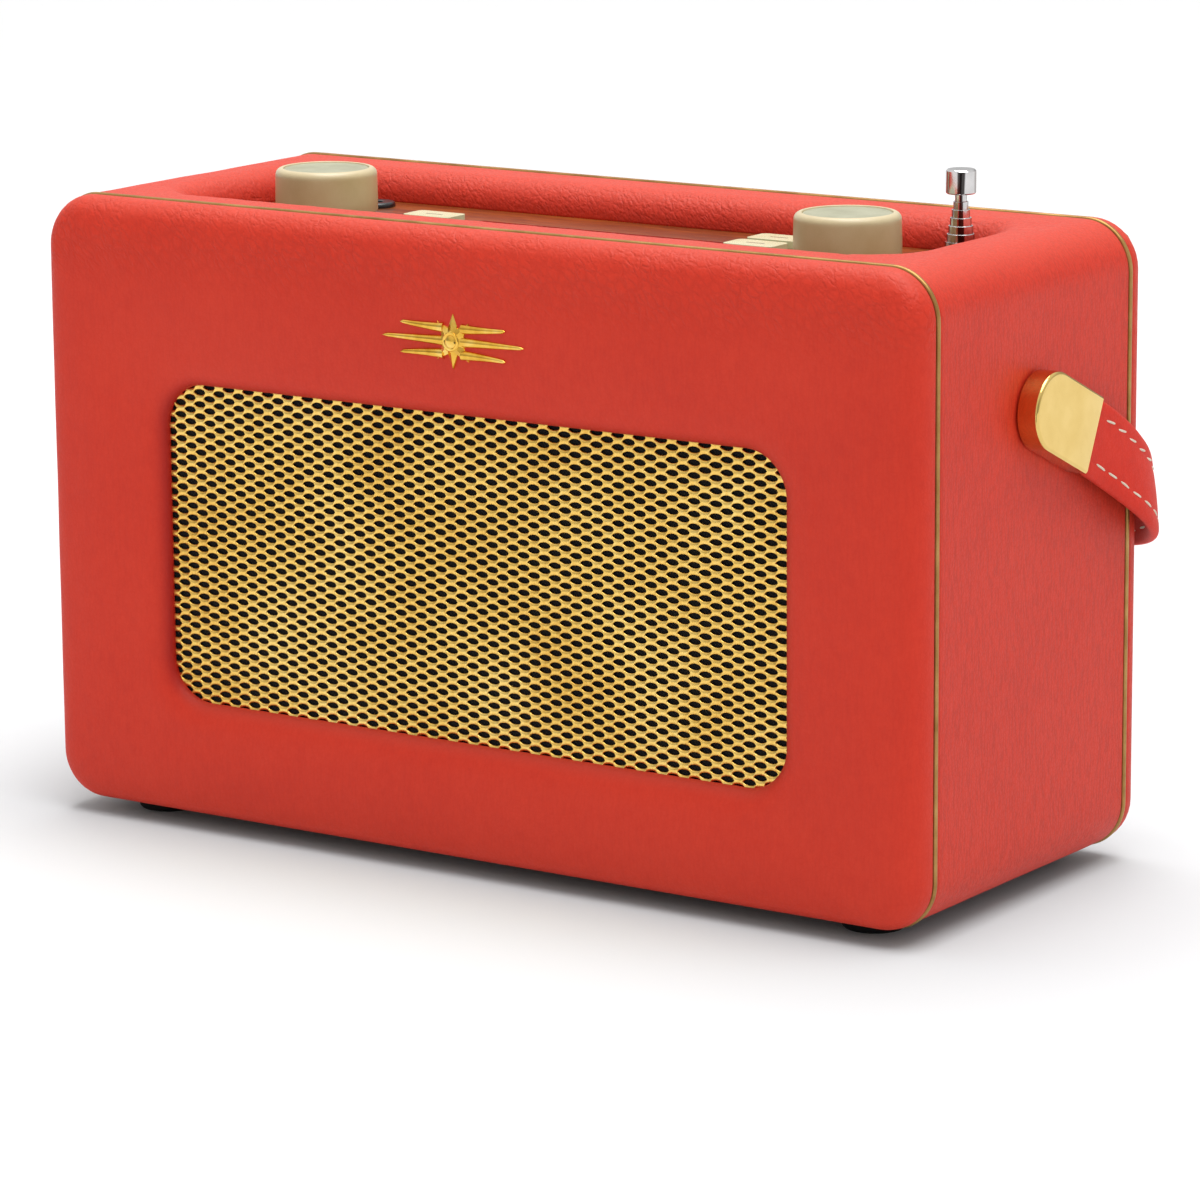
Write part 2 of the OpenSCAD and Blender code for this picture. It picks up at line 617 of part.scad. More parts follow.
// Columns: side the cells' positive ends face, height of the cells' axis
cell_rows = [[1, door_z + 15], [-1, door_z + 41.4]];
board_z = door_z + 66;       // underside of the main board
peg_r = 1.5;
module at_board_posts() for (x = [-50, 50], y = [20, 40]) translate([x, y, 0]) children();
module battery_box() color("darkslategray") difference() {
  union() {
    door_opening(-0.2, 15, back_y - 0.5);
    at_board_posts() {
      rod_z(3, door_z + 58, board_z);
      rod_z(peg_r, door_z + 60, board_z + 3);
    }
  }
  box(-door_hx + 0.5, door_hx - 0.5, 17, back_y + 1, door_z + 1.5, door_z + 55);
  // seat for the door
  box(-door_hx - 0.3, door_hx + 0.3, door_y - door_t - 0.2, back_y + 1,
    door_z - 2, door_z + door_h + 0.3);
  rod_x(pin_r, -half_w, half_w, pin_y, door_z);
}
module battery_door() color("darkslategray") difference() {
  union() {
    box(-door_hx, door_hx, door_y - door_t, door_y, door_z, door_z + door_h);
    rod_x(door_t / 2 - 0.05, -door_hx, door_hx, pin_y, door_z);
    // ribs near the top edge
    for (i = [0:3]) let (z = door_z + 45.5 + 2 * i) box(-6, 6, door_y - 0.5, door_y + 0.5, z, z + 1);
  }
  rod_x(pin_r + 0.05, -half_w, half_w, pin_y, door_z);
  // a slit on each side of the ribs
  for (x = [-9, 9]) box(x - 0.4, x + 0.4, 0, back_y + 1, door_z + 42, door_z + door_h + 1);
}
module door_hinge_pin() color("silver")
  rod_x(pin_r, -door_hx - 2.8, door_hx + 2.8, pin_y, door_z);
// Two cells end to end in each row
module battery_cells() color("steelblue") for (row = cell_rows, x = [-50, 0]) on_side(row[0]) {
  rod_x(13.1, x, x + 48.5, cell_y, row[1]);
  rod_x(3.2, x + 48, x + 50, cell_y, row[1]);
}
// A plate at each end of a row, with a spring cone at one and a button at the other
module battery_contacts() color("silver") for (row = cell_rows) on_side(row[0]) {
  for (x = [-52.5, 52.1])
    box(x, x + 0.4, cell_y - 9.5, cell_y + 9.5, row[1] - 9.5, row[1] + 9.5);
  translate([-52.2, cell_y, row[1]]) rotate([0, 90, 0]) rotate_extrude($fn = 48)
    polygon([[6, 0], [7, 0], [4.6, 2.2], [3.6, 2.2]]);
  rod_x(3.5, 50, 52.2, cell_y, row[1]);
}
module main_board() color("green") translate([0, 0, board_z]) {
  difference() {
    box(-58, 58, 5, 44, 0, 1.6);
    at_board_posts() rod_z(peg_r, -1, 3);
  }
  box(-40, -8, 12, 38, 1, 8.6);
  box(6, 20, 26, 40, 1, 3.2);
  // block with five fins
  box(24, 44, 30, 36, 1, 12);
  for (i = [0:4]) let (x = 24 + 4.6 * i) box(x, x + 1.4, 35, 42, 1, 12);
  for (x = [8, 19, 30]) rod_z(4, 1, 13, x, 15);
  both_sides() box(46, 56, 26, 34, 1, 7);
}

cabinet_shell();
case_leather();
front_board();
front_padding();
front_leather();
front_piping();
rear_board();
rear_leather();
rear_piping();
grille_mesh();
grille_cloth();
front_ornament();
inner_baffle();
speaker_basket();
speaker_magnet();
speaker_cone();
speaker_screws();
control_panel();
display_window();
lcd_module();
key_board();
encoders();
headphone_socket();
main_board();
battery_box();
battery_cells();
battery_contacts();
door_hinge_pin();
socket_plate();
rear_sockets();
feet();
rear_screws();
aerial_well();
strap_pivots();
strap_nuts();
carry_strap();
strap_cap_left();
strap_cap_right();
volume_knob();
volume_knob_disc();
volume_shaft();
tuning_knob();
tuning_knob_disc();
tuning_shaft();
tuning_rotor();
key_left_rear();
key_left_middle();
key_left_front();
key_right_back();
key_right_rear();
key_right_middle();
key_right_front();
aerial_tube();
aerial_section_1();
aerial_section_2();
aerial_section_3();
aerial_section_4();
aerial_section_5();
aerial_section_6();
battery_door();
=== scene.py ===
# A portable radio in a leather case. Its padded front, with a gold grille, faces -Y; the sunken
# control panel looks up (+Z); the feet stand on z = 0, and +X is on the right seen from the front.
# The carrying strap turns on pivots at both sides. Shapes are worked out in mm, Blender has metres.
import math
from collections import Counter
from functools import cached_property
import bpy
import bmesh
import numpy as np
from mathutils import Matrix, Vector, geometry, noise


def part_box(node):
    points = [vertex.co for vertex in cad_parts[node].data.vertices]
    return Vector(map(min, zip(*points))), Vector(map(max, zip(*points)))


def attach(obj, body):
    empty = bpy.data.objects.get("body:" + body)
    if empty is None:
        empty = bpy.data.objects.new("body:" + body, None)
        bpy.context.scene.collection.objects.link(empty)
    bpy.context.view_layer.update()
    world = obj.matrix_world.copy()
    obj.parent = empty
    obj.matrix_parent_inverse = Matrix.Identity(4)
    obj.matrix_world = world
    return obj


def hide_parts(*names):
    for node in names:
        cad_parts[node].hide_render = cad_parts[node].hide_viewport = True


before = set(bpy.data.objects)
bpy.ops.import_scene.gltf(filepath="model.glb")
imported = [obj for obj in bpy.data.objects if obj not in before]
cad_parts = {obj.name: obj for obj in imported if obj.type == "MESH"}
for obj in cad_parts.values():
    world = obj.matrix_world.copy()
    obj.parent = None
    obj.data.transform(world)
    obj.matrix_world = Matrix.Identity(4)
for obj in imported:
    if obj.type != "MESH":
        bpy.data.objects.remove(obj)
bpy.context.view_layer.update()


# ---------------------------------------------------------------- sizes, in mm
def mm_box(piece):
    low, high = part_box(piece)
    return np.array(low) * 1000.0, np.array(high) * 1000.0


case_low, case_high = mm_box("case_leather")
HALF_X, BASE_Z, TOP_Z = case_high[0], case_low[2], case_high[2]
BAND_FRONT, BAND_BACK = case_low[1], case_high[1]
FRONT_Y, FRONT_BACK = (corner[1] for corner in mm_box("front_leather"))
REAR_FRONT, REAR_Y = (corner[1] for corner in mm_box("rear_leather"))
CORNER_R = 12.0
CURL = 0.8                  # radius of the leather's edge where it turns in beside the piping

# The opening over the grille mesh, whose edge covers a border of the mesh
mesh_low, mesh_high = mm_box("grille_mesh")
MESH_BORDER = 4.5
GRILLE_X = mesh_high[0] - MESH_BORDER
GRILLE_LOW, GRILLE_HIGH = mesh_low[2] + MESH_BORDER, mesh_high[2] - MESH_BORDER
GRILLE_MID = (GRILLE_LOW + GRILLE_HIGH) / 2
GRILLE_R = 11.0
MESH_Y = mesh_low[1]

# The well in the top, around the control panel
PANEL_Z = mm_box("control_panel")[1][2]
WELL_X, WELL_FRONT, WELL_BACK, WELL_R = 103.0, -28.0, 28.5, 12.0
LIP_R = 7.0                 # roll of the leather into the well


# ---------------------------------------------------------------- outlines and curves
def line(start, end, count):
    """Points from start up to, but without, end."""
    return [(start[0] + (end[0] - start[0]) * (i / count),
             start[1] + (end[1] - start[1]) * (i / count)) for i in range(count)]


def rounded_rect(left, right, low, high, radius, counts):
    """Up the right side and round to the start. counts: points per upright, level and corner."""
    upright, level, corner = counts

    def arc(x, z, start):
        angles = [math.radians(start + 90.0 * i / corner) for i in range(corner)]
        return [(x + radius * math.cos(a), z + radius * math.sin(a)) for a in angles]
    points = line((right, low + radius), (right, high - radius), upright)
    points += arc(right - radius, high - radius, 0)
    points += line((right - radius, high), (left + radius, high), level)
    points += arc(left + radius, high - radius, 90)
    points += line((left, high - radius), (left, low + radius), upright)
    points += arc(left + radius, low + radius, 180)
    points += line((left + radius, low), (right - radius, low), level)
    points += arc(right - radius, low + radius, 270)
    return np.array(points)


def at_y(outline, y):
    """An outline in x and z, set up as a ring at depth y."""
    return np.column_stack([outline[:, 0], np.full(len(outline), y), outline[:, 1]])


def case_outline(inset, radius, counts, top_inset=None):
    if top_inset is None:
        top_inset = inset
    return rounded_rect(-HALF_X + inset, HALF_X - inset, BASE_Z + inset, TOP_Z - top_inset,
                        radius, counts)


def smooth01(value):
    value = np.clip(value, 0.0, 1.0)
    return value * value * (3 - 2 * value)


def quarter(step, steps, power):
    """Cosine and sine of a step along a quarter turn, each raised to a power."""
    angle = math.pi / 2 * step / steps
    cosine = math.cos(angle) ** power if step < steps else 0.0
    return cosine, math.sin(angle) ** power


def curled_edge(flat_y, side, groove, counts):
    """Rings out of the piping groove and round the curled edge of a panel, and the y of the
    curl's axis. groove holds (inset, cut in corner radius); side is 1 if the groove is behind."""
    rings = [at_y(case_outline(inset, CORNER_R - cut, counts), flat_y) for inset, cut in groove]
    axis_y = flat_y - side * CURL
    for degrees in (90, 65, 40, 18):
        angle = math.radians(degrees)
        inset = CURL * (1 - math.cos(angle))
        outline = case_outline(inset, CORNER_R - inset, counts)
        rings.append(at_y(outline, axis_y + side * CURL * math.sin(angle)))
    return rings, axis_y


def fractal(points, size, seed, octaves):
    """Fractal noise at points, with features about size mm wide."""
    offset = np.array([seed, -seed, 2 * seed])
    return np.array([noise.fractal(Vector(point / size + offset), 0.9, 2.0, octaves)
                     for point in points])


# ---------------------------------------------------------------- mesh helpers
def raw_mesh(name, vertices, faces):
    mesh = bpy.data.meshes.new(name)
    places = (np.asarray(vertices, float) * 0.001).tolist()
    mesh.from_pydata(places, [], [list(map(int, face)) for face in faces])
    mesh.validate()
    mesh.update()
    return mesh


def weld(vertices, faces, tolerance=1e-3):
    """Joins vertices that round to the same place and drops faces that collapse."""
    vertices = np.asarray(vertices, float)
    cells = np.round(vertices / tolerance).astype(np.int64)
    _, first, inverse = np.unique(cells, axis=0, return_index=True, return_inverse=True)
    inverse = np.asarray(inverse).ravel()
    kept = []
    for face in faces:
        joined = []
        for corner in face:
            index = int(inverse[corner])
            if not joined or joined[-1] != index:
                joined.append(index)
        if len(joined) > 1 and joined[0] == joined[-1]:
            joined.pop()
        if len(joined) > 2 and len(set(joined)) == len(joined):
            kept.append(joined)
    return vertices[first], kept


def grid_faces(rows, columns, closed=True, start=0, wrap=False):
    """Quads of a grid. closed joins the ends of each row, wrap joins the last row to the first."""
    faces = []
    for k in range(rows if wrap else rows - 1):
        here = start + k * columns
        after = start + (k + 1) % rows * columns
        for i in range(columns if closed else columns - 1):
            j = (i + 1) % columns
            faces.append((here + i, here + j, after + j, after + i))
    return faces


class Surface:
    """Vertices and faces gathered piece by piece."""

    def __init__(self):
        self.vertices, self.faces = [], []

    def add_grid(self, rows, closed=True):
        start = len(self.vertices)
        for row in rows:
            self.vertices.extend(tuple(point) for point in row)
        self.faces.extend(grid_faces(len(rows), len(rows[0]), closed, start))
        return start

    def cap(self, start, count, flip=False):
        """One face over consecutive vertices."""
        face = tuple(range(start, start + count))
        self.faces.append(face[::-1] if flip else face)


def add_modifier(target, name, kind, **settings):
    modifier = target.modifiers.new(name, kind)
    for key, value in settings.items():
        setattr(modifier, key, value)


def finish_mesh(name, mesh, material, body, slot, replaced=None, modifiers=()):
    """Makes the object. An open sheet is thickened by its modifiers and keeps its facing; a solid
    has none, and its faces are turned outward."""
    work = bmesh.new()
    work.from_mesh(mesh)
    bmesh.ops.remove_doubles(work, verts=work.verts, dist=1e-7)
    if not modifiers:
        bmesh.ops.recalc_face_normals(work, faces=work.faces)
    work.to_mesh(mesh)
    work.free()
    for polygon in mesh.polygons:
        polygon.use_smooth = True
    mesh.update()
    made = bpy.data.objects.new(name, mesh)
    bpy.context.scene.collection.objects.link(made)
    mesh.materials.append(material)
    for kind, settings in modifiers:
        add_modifier(made, kind.lower(), kind, **settings)
    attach(made, body)
    if replaced:
        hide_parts(replaced)


def sheet(thickness):
    """The modifier that gives a sheet its thickness, in mm."""
    return ("SOLIDIFY", dict(thickness=thickness * 0.001, offset=-1.0, use_rim=True))


def add_solid(name, vertices, faces, *rest):
    mesh = raw_mesh(name, vertices, faces)
    finish_mesh(name, mesh, *rest)
    return mesh


def face_away(mesh, point):
    """Turns the faces of an open sheet so that they look away from a point, in mm."""
    work = bmesh.new()
    work.from_mesh(mesh)
    bmesh.ops.recalc_face_normals(work, faces=work.faces)
    centre = Vector(point) * 0.001
    away = sum(face.normal.dot(face.calc_center_median() - centre) * face.calc_area()
               for face in work.faces)
    if away < 0:
        bmesh.ops.reverse_faces(work, faces=work.faces)
    work.to_mesh(mesh)
    work.free()
    mesh.update()


def vertex_vectors(mesh, field):
    values = np.zeros(len(mesh.vertices) * 3, np.float32)
    mesh.vertices.foreach_get(field, values)
    return values.reshape(-1, 3).astype(float)


def set_points(mesh, points):
    mesh.vertices.foreach_set("co", (points * 0.001).astype(np.float32).ravel())
    mesh.update()


def turned(profile, x, y, steps):
    """A solid turned about an upright axis. The profile of (radius, z) starts and ends on it."""
    vertices, faces, rings = [], [], []
    for radius, z in profile:
        count = 1 if radius < 1e-9 else steps
        rings.append(range(len(vertices), len(vertices) + count))
        for i in range(count):
            angle = 2 * math.pi * i / steps
            vertices.append((x + radius * math.cos(angle), y + radius * math.sin(angle), z))
    for low, high in zip(rings, rings[1:]):
        for i in range(steps):
            j = (i + 1) % steps
            if len(low) == 1:
                faces.append((low[0], high[j], high[i]))
            elif len(high) == 1:
                faces.append((low[i], low[j], high[0]))
            else:
                faces.append((low[i], low[j], high[j], high[i]))
    return vertices, faces


# ---------------------------------------------------------------- shader helpers
def linear(rgb):
    """Linear RGBA from 8-bit sRGB."""
    def channel(value):
        value /= 255.0
        return value / 12.92 if value <= 0.04045 else ((value + 0.055) / 1.055) ** 2.4
    return tuple(channel(value) for value in rgb) + (1.0,)


class Value:
    """The output of a shader node. Arithmetic on it makes Math nodes."""

    def __init__(self, nodes, socket):
        self.nodes, self.socket = nodes, socket

    def __add__(self, other):
        return self.nodes.math("ADD", self, other)

    def __sub__(self, other):
        return self.nodes.math("SUBTRACT", self, other)

    def __rsub__(self, other):
        return self.nodes.math("SUBTRACT", other, self)

    def __mul__(self, other):
        return self.nodes.math("MULTIPLY", self, other)

    def __rmul__(self, other):
        return self.nodes.math("MULTIPLY", other, self)

    def __abs__(self):
        return self.nodes.math("ABSOLUTE", self)

    def sine(self):
        return self.nodes.math("SINE", self)

    def fade(self, zero, one, low=0.0, high=1.0):
        """Goes smoothly from low, where the value is zero, to high, where it is one."""
        ranges = {"From Min": zero, "From Max": one, "To Min": low, "To Max": high}
        return self.nodes.node("MapRange", {"Value": self, **ranges},
                               interpolation_type="SMOOTHSTEP")()


class Nodes:
    """Makes the nodes of one tree. A colour is an 8-bit sRGB triple, or linear RGBA."""

    def __init__(self, tree):
        self.tree = tree

    def put(self, socket, value):
        if isinstance(value, Value):
            self.tree.links.new(value.socket, socket)
        elif socket.type == "RGBA" and len(value) == 3:
            socket.default_value = linear(value)
        else:
            socket.default_value = value

    def node(self, kind, inputs=None, **settings):
        """Returns a function that gives the node's output of a name or number."""
        made = self.tree.nodes.new("ShaderNode" + kind)
        for key, value in settings.items():
            setattr(made, key, value)
        for key, value in (inputs or {}).items():
            self.put(made.inputs[key], value)
        return lambda output=0: Value(self, made.outputs[output])

    def math(self, operation, *values):
        return self.node("Math", dict(enumerate(values)), operation=operation)()

    def vector(self, operation, *values):
        made = self.node("VectorMath", dict(enumerate(values)), operation=operation)
        return made("Value" if operation in ("LENGTH", "DOT_PRODUCT") else "Vector")

    def axes(self, vector):
        separate = self.node("SeparateXYZ", {0: vector})
        return [separate(i) for i in range(3)]


class Material(Nodes):
    """A material with one Principled shader. Sizes are in mm."""
    INPUTS = {"color": "Base Color", "metal": "Metallic", "rough": "Roughness",
              "normal": "Normal", "spec": "Specular IOR Level", "coat": "Coat Weight",
              "coat_rough": "Coat Roughness", "sheen": "Sheen Weight"}

    def __init__(self, name):
        self.material = bpy.data.materials.new(name)
        self.material.use_nodes = True
        super().__init__(self.material.node_tree)
        self.place = self.stretch((1000, 1000, 1000), self.node("TexCoord")("Object"))

    @cached_property
    def xyz(self):
        return self.axes(self.place)

    def stretch(self, factors, vec=None):
        return self.vector("MULTIPLY", vec or self.place, factors)

    def noise(self, size, detail=2.0, rough=0.5, twist=0.0, vec=None, output="Fac"):
        inputs = {"Vector": vec or self.place, "Scale": 1.0 / size, "Detail": detail,
                  "Roughness": rough, "Distortion": twist}
        return self.node("TexNoise", inputs)(output)

    def voronoi(self, size, feature, vec=None, random=1.0):
        inputs = {"Vector": vec or self.place, "Scale": 1.0 / size, "Randomness": random}
        return self.node("TexVoronoi", inputs, feature=feature)("Distance")

    def warp(self, size, amount, vec=None):
        """Coordinates pushed about by noise, by up to amount."""
        push = self.noise(size=size, vec=vec, output="Color")
        push = self.vector("SUBTRACT", push, (0.5, 0.5, 0.5))
        return self.vector("ADD", vec or self.place, self.stretch((2 * amount,) * 3, push))

    def combine(self, *parts):
        return self.node("CombineXYZ", dict(enumerate(parts)))()

    def ramp(self, value, stops):
        """stops: position to colour, in rising order."""
        made = self.tree.nodes.new("ShaderNodeValToRGB")
        self.put(made.inputs[0], value)
        elements = made.color_ramp.elements
        elements.remove(elements[-1])
        for i, (position, color) in enumerate(stops.items()):
            element = elements.new(position) if i else elements[0]
            element.position = position
            element.color = linear(color)
        return Value(self, made.outputs["Color"])

    def tones(self, value, colors, spread=0.2):
        """A ramp through the colours, spaced evenly from 0.5 - spread to 0.5 + spread."""
        places = np.linspace(0.5 - spread, 0.5 + spread, len(colors)).tolist()
        return self.ramp(value, dict(zip(places, colors)))

    def mix(self, amount, under, over):
        return self.node("Mix", {0: amount, 6: under, 7: over}, data_type="RGBA")(2)

    def bump(self, height, strength, depth):
        inputs = {"Height": height, "Strength": strength, "Distance": depth * 0.001}
        return self.node("Bump", inputs)("Normal")

    def edge_wear(self, zero=0.52, one=0.62):
        return self.node("NewGeometry")("Pointiness").fade(zero=zero, one=one)

    def finish(self, **inputs):
        shader = self.tree.nodes["Principled BSDF"]
        for key, value in inputs.items():
            self.put(shader.inputs[self.INPUTS[key]], value)
        return self.material


# ---------------------------------------------------------------- leather materials
def leather(name, tones, grain, streaks, swell, rough, spec, cell=1.15, creased=None, painted_recess_shade=None):
    """grain, streaks and swell weigh the pebbles, the fine upright creases and the broad
    unevenness. creased gives where the leather is pulled round a bend, so that its folds show;
    the last argument gives where it goes down into a recess, which painted shade darkens."""
    mat = Material(name)
    dark, _, light = tones
    bent = creased(mat) if creased else 0.0
    warped = mat.warp(size=2.6, amount=0.45)
    cell_edge = mat.voronoi(cell, "DISTANCE_TO_EDGE", warped)
    pebble = cell_edge.fade(zero=0.0, one=0.30)
    small = mat.voronoi(cell * 0.46, "SMOOTH_F1", warped)
    # folds of the grain, drawn out slantwise, that open up where the leather is bent
    slant = mat.combine(mat.xyz[2] * 0.45, 0.0, mat.xyz[0] * 0.25)
    slant = mat.vector("ADD", mat.warp(size=3.0, amount=0.9), slant)
    fold = mat.voronoi(cell * 2.1, "DISTANCE_TO_EDGE", slant).fade(zero=0.0, one=0.26)
    fine_slant = mat.warp(size=1.6, amount=0.5, vec=slant)
    fine_fold = mat.voronoi(cell * 1.15, "DISTANCE_TO_EDGE", fine_slant).fade(zero=0.0, one=0.34)
    some = mat.noise(size=9.0).fade(zero=0.36, one=0.60)
    broad = mat.noise(size=8.0, detail=3.0, rough=0.55)
    fine = mat.noise(size=0.32, rough=0.6)
    large = mat.noise(size=46.0)
    patch = mat.noise(size=3.2, detail=3.0, rough=0.6)
    # long fine creases running up the panel
    upright = mat.stretch((1.0, 1.0, 0.15), mat.warp(size=4.0, amount=0.5))
    streak = mat.noise(size=0.62, detail=3.0, rough=0.55, twist=0.5, vec=upright)
    height = (pebble * (0.50 * grain)
              + small * (0.30 * grain)
              + (fold * 0.75 + fine_fold * 0.55) * (bent * (some * 0.6 + 0.4) * 2.3 + 0.16 * grain)
              + broad * (1.5 * swell)
              + fine * (0.14 * grain)
              + streak * (1.3 * streaks))
    color = mat.tones(large * 0.45 + patch * 0.35 + streak * 0.20, tones)
    crease = cell_edge.fade(zero=0.0, one=0.16, low=1.0, high=0.0)
    color = mat.mix(crease * (0.20 * grain), color, dark)
    deep = tuple(0.72 * channel for channel in linear(dark)[:3]) + (1.0,)
    # math() and not *, because bent may be a plain number
    color = mat.mix((1.0 - fold) * mat.math("MULTIPLY", bent, 0.22), color, deep)
    color = mat.mix(streak.fade(zero=0.54, one=0.40) * (0.42 * streaks), color, deep)
    color = mat.mix(streak.fade(zero=0.56, one=0.68) * (0.30 * streaks), color, light)
    color = mat.mix(mat.edge_wear(zero=0.515, one=0.60) * 0.22, color, light)
    # painted sheen: faces that look up are paler, standing in for the light from above
    painted_top_sheen = mat.axes(mat.node("NewGeometry")("Normal"))[2].fade(zero=0.25, one=0.95)
    color = mat.mix(painted_top_sheen * 0.24, color, (216, 106, 86))
    # light bounced off the leather is muted, so that the pale floor isn't stained
    color = mat.mix(mat.node("LightPath")("Is Diffuse Ray") * 0.88, color, (110, 104, 103))
    # painted shade: deep red where the leather goes down into a recess
    if painted_recess_shade:
        color = mat.mix(painted_recess_shade(mat), color, (164, 18, 10))
    roughness = (mat.noise(size=1.4, detail=3.0, rough=0.6) * 0.16 + (rough - 0.08)
                 + crease * 0.08)
    return mat.finish(color=color, rough=roughness, spec=spec,
                      normal=mat.bump(height, strength=0.55, depth=0.11))


def front_bend(mat):
    """The roll along the top of the front."""
    return mat.xyz[2].fade(zero=TOP_Z - 24.0, one=TOP_Z - 9.0)


def front_recess_shade(mat):
    """Painted shade on the leather rolled into the grille opening, less so along its lower
    edge, as the light comes from above.
    """
    half_height = (GRILLE_HIGH - GRILLE_LOW) / 2
    deep = mat.xyz[1].fade(zero=FRONT_Y + 0.5, one=FRONT_Y + 3.2)
    across = abs(mat.xyz[0]).fade(zero=GRILLE_X + 6.0, one=GRILLE_X + 5.0)
    upright = abs(mat.xyz[2] - GRILLE_MID).fade(zero=half_height + 6.0, one=half_height + 5.0)
    above = mat.xyz[2].fade(zero=GRILLE_LOW - 2.0, one=GRILLE_LOW + 7.0, low=0.45)
    return deep * (across * upright) * (above * 0.85)


def band_bend(mat):
    """The top of the band, round the well."""
    above = mat.xyz[2].fade(zero=PANEL_Z - 1.0, one=PANEL_Z + 1.0)
    within = abs(mat.xyz[0]).fade(zero=HALF_X - 6.0, one=HALF_X - 13.0)
    return above * within * 0.85


# ---------------------------------------------------------------- metal materials
def piping_metal():
    """Brass-coloured cord with faint draw marks, duller where it was handled."""
    mat = Material("piping")
    broad = mat.noise(size=7.0)
    fine = mat.noise(size=0.5)
    color = mat.tones(broad * 0.8 + fine * 0.2, [(146, 108, 54), (170, 130, 72), (190, 150, 90)])
    return mat.finish(color=color, metal=0.70, rough=broad * 0.18 + 0.24,
                      normal=mat.bump(broad * 0.5 + fine * 0.2, strength=0.2, depth=0.02))


def grille_gold():
    mat = Material("grille_gold")
    fine = mat.noise(size=0.8, detail=3.0, rough=0.6)
    broad = mat.noise(size=30.0)
    waves = mat.noise(size=5.0, vec=mat.stretch((0.5, 1, 1)))
    color = mat.tones(fine * 0.5 + broad * 0.5,
                      [(224, 174, 78), (242, 200, 104), (250, 217, 130)], spread=0.18)
    # painted shade: a darker amber deeper in the punched edges
    deep = mat.xyz[1].fade(zero=MESH_Y + 0.12, one=MESH_Y + 0.7)
    color = mat.mix(deep * 0.75, color, (168, 104, 28))
    roughness = mat.noise(size=1.7, detail=3.0, rough=0.6) * 0.18 + 0.20
    height = waves * 1.0 + mat.noise(size=0.35) * 0.10
    return mat.finish(color=color, metal=1.0, rough=roughness,
                      normal=mat.bump(height, strength=0.5, depth=0.10))


def polished_gold(name, colors, rough, broad_relief):
    mat = Material(name)
    broad = mat.noise(size=6.0, detail=3.0, rough=0.55)
    fine = mat.noise(size=0.35, detail=3.0, rough=0.6)
    scratches = mat.noise(size=0.5, detail=4.0, rough=0.65, vec=mat.stretch((1.0, 0.22, 1.6)))
    return mat.finish(color=mat.tones(broad, colors), metal=1.0,
                      rough=scratches.fade(zero=0.45, one=0.75) * 0.05 + rough,
                      normal=mat.bump(broad * broad_relief + fine * 0.015,
                                      strength=0.25, depth=0.05))


def chrome():
    mat = Material("chrome")
    drawn = mat.noise(size=0.5, detail=3.0, rough=0.6, vec=mat.stretch((1, 1, 0.2)))
    rings = (mat.xyz[2] * 26.0).sine()
    color = mat.tones(mat.noise(size=4.0), [(200, 198, 198), (222, 220, 220)])
    # painted reflection: upright plating is coloured dark where it faces the view, as the dark
    # end of the room would mirror straight back, and dimmer at its flanks
    surface = mat.node("NewGeometry")
    view = mat.vector("NORMALIZE", mat.stretch((1.0, 1.0, 0.0), surface("Incoming")))
    level = mat.vector("NORMALIZE", mat.stretch((1.0, 1.0, 0.0), surface("Normal")))
    facing = mat.vector("DOT_PRODUCT", view, level)
    upright = abs(mat.axes(surface("Normal"))[2]).fade(zero=0.75, one=0.35)
    color = mat.mix(facing.fade(zero=0.955, one=0.982) * upright * 0.93, color, (34, 26, 25))
    color = mat.mix(facing.fade(zero=0.62, one=0.30) * upright * 0.72, color, (104, 88, 80))
    return mat.finish(color=color, metal=1.0, rough=drawn * 0.10 + 0.06,
                      normal=mat.bump(drawn * 0.4 + rings * 0.04, strength=0.2, depth=0.03))


def steel(name, light, rough):
    mat = Material(name)
    brushed = mat.noise(size=0.3, detail=3.0, rough=0.6, vec=mat.stretch((0.12, 1, 1)))
    broad = mat.noise(size=3.0, detail=3.0, rough=0.6)
    dark = tuple(channel - 34 for channel in light)
    return mat.finish(color=mat.tones(brushed * 0.5 + broad * 0.5, [dark, light]), metal=1.0,
                      rough=brushed * 0.25 + (rough - 0.1),
                      normal=mat.bump(brushed, strength=0.3, depth=0.04))


# ---------------------------------------------------------------- wood and cloth materials
def veneer():
    mat = Material("veneer")
    warped = mat.warp(size=9.0, amount=0.7, vec=mat.warp(size=60.0, amount=5.0))

    def along(factor):
        return mat.stretch((factor, 1.0, 1.0), warped)
    fibre = mat.noise(size=0.42, detail=5.0, rough=0.68, vec=along(0.045))
    bands = mat.noise(size=3.4, detail=3.0, rough=0.6, twist=0.5, vec=along(0.06))
    pores = mat.noise(size=0.3, vec=along(0.13)).fade(zero=0.60, one=0.72)
    color = mat.ramp(bands * 0.62 + fibre * 0.42, {
        0.34: (72, 32, 8), 0.48: (116, 54, 14), 0.60: (150, 78, 24), 0.74: (174, 102, 38)})
    color = mat.mix(pores * 0.55, color, (50, 20, 6))
    flame = mat.noise(size=14.0, twist=1.5).fade(zero=0.35, one=0.75, high=0.22)
    color = mat.mix(flame, color, (168, 84, 26))
    return mat.finish(color=color, rough=fibre * 0.12 + 0.28, coat=0.35,
                      coat_rough=mat.noise(size=5.0, detail=3.0) * 0.12 + 0.08,
                      normal=mat.bump(fibre * 0.4 - pores * 0.8, strength=0.35, depth=0.05))


def timber(name, dark, light, ring=4.0, rough=0.62):
    mat = Material(name)
    warped = mat.warp(size=18.0, amount=2.4)
    grain = mat.noise(size=ring, detail=4.0, rough=0.62, twist=0.4,
                      vec=mat.stretch((0.10, 1.0, 1.0), warped))
    fibre = mat.noise(size=0.5, detail=4.0, rough=0.7, vec=mat.stretch((0.08, 1.0, 1.0), warped))
    return mat.finish(color=mat.ramp(grain * 0.65 + fibre * 0.4, {0.34: dark, 0.70: light}),
                      rough=fibre * 0.2 + (rough - 0.1),
                      normal=mat.bump(fibre, strength=0.5, depth=0.10))


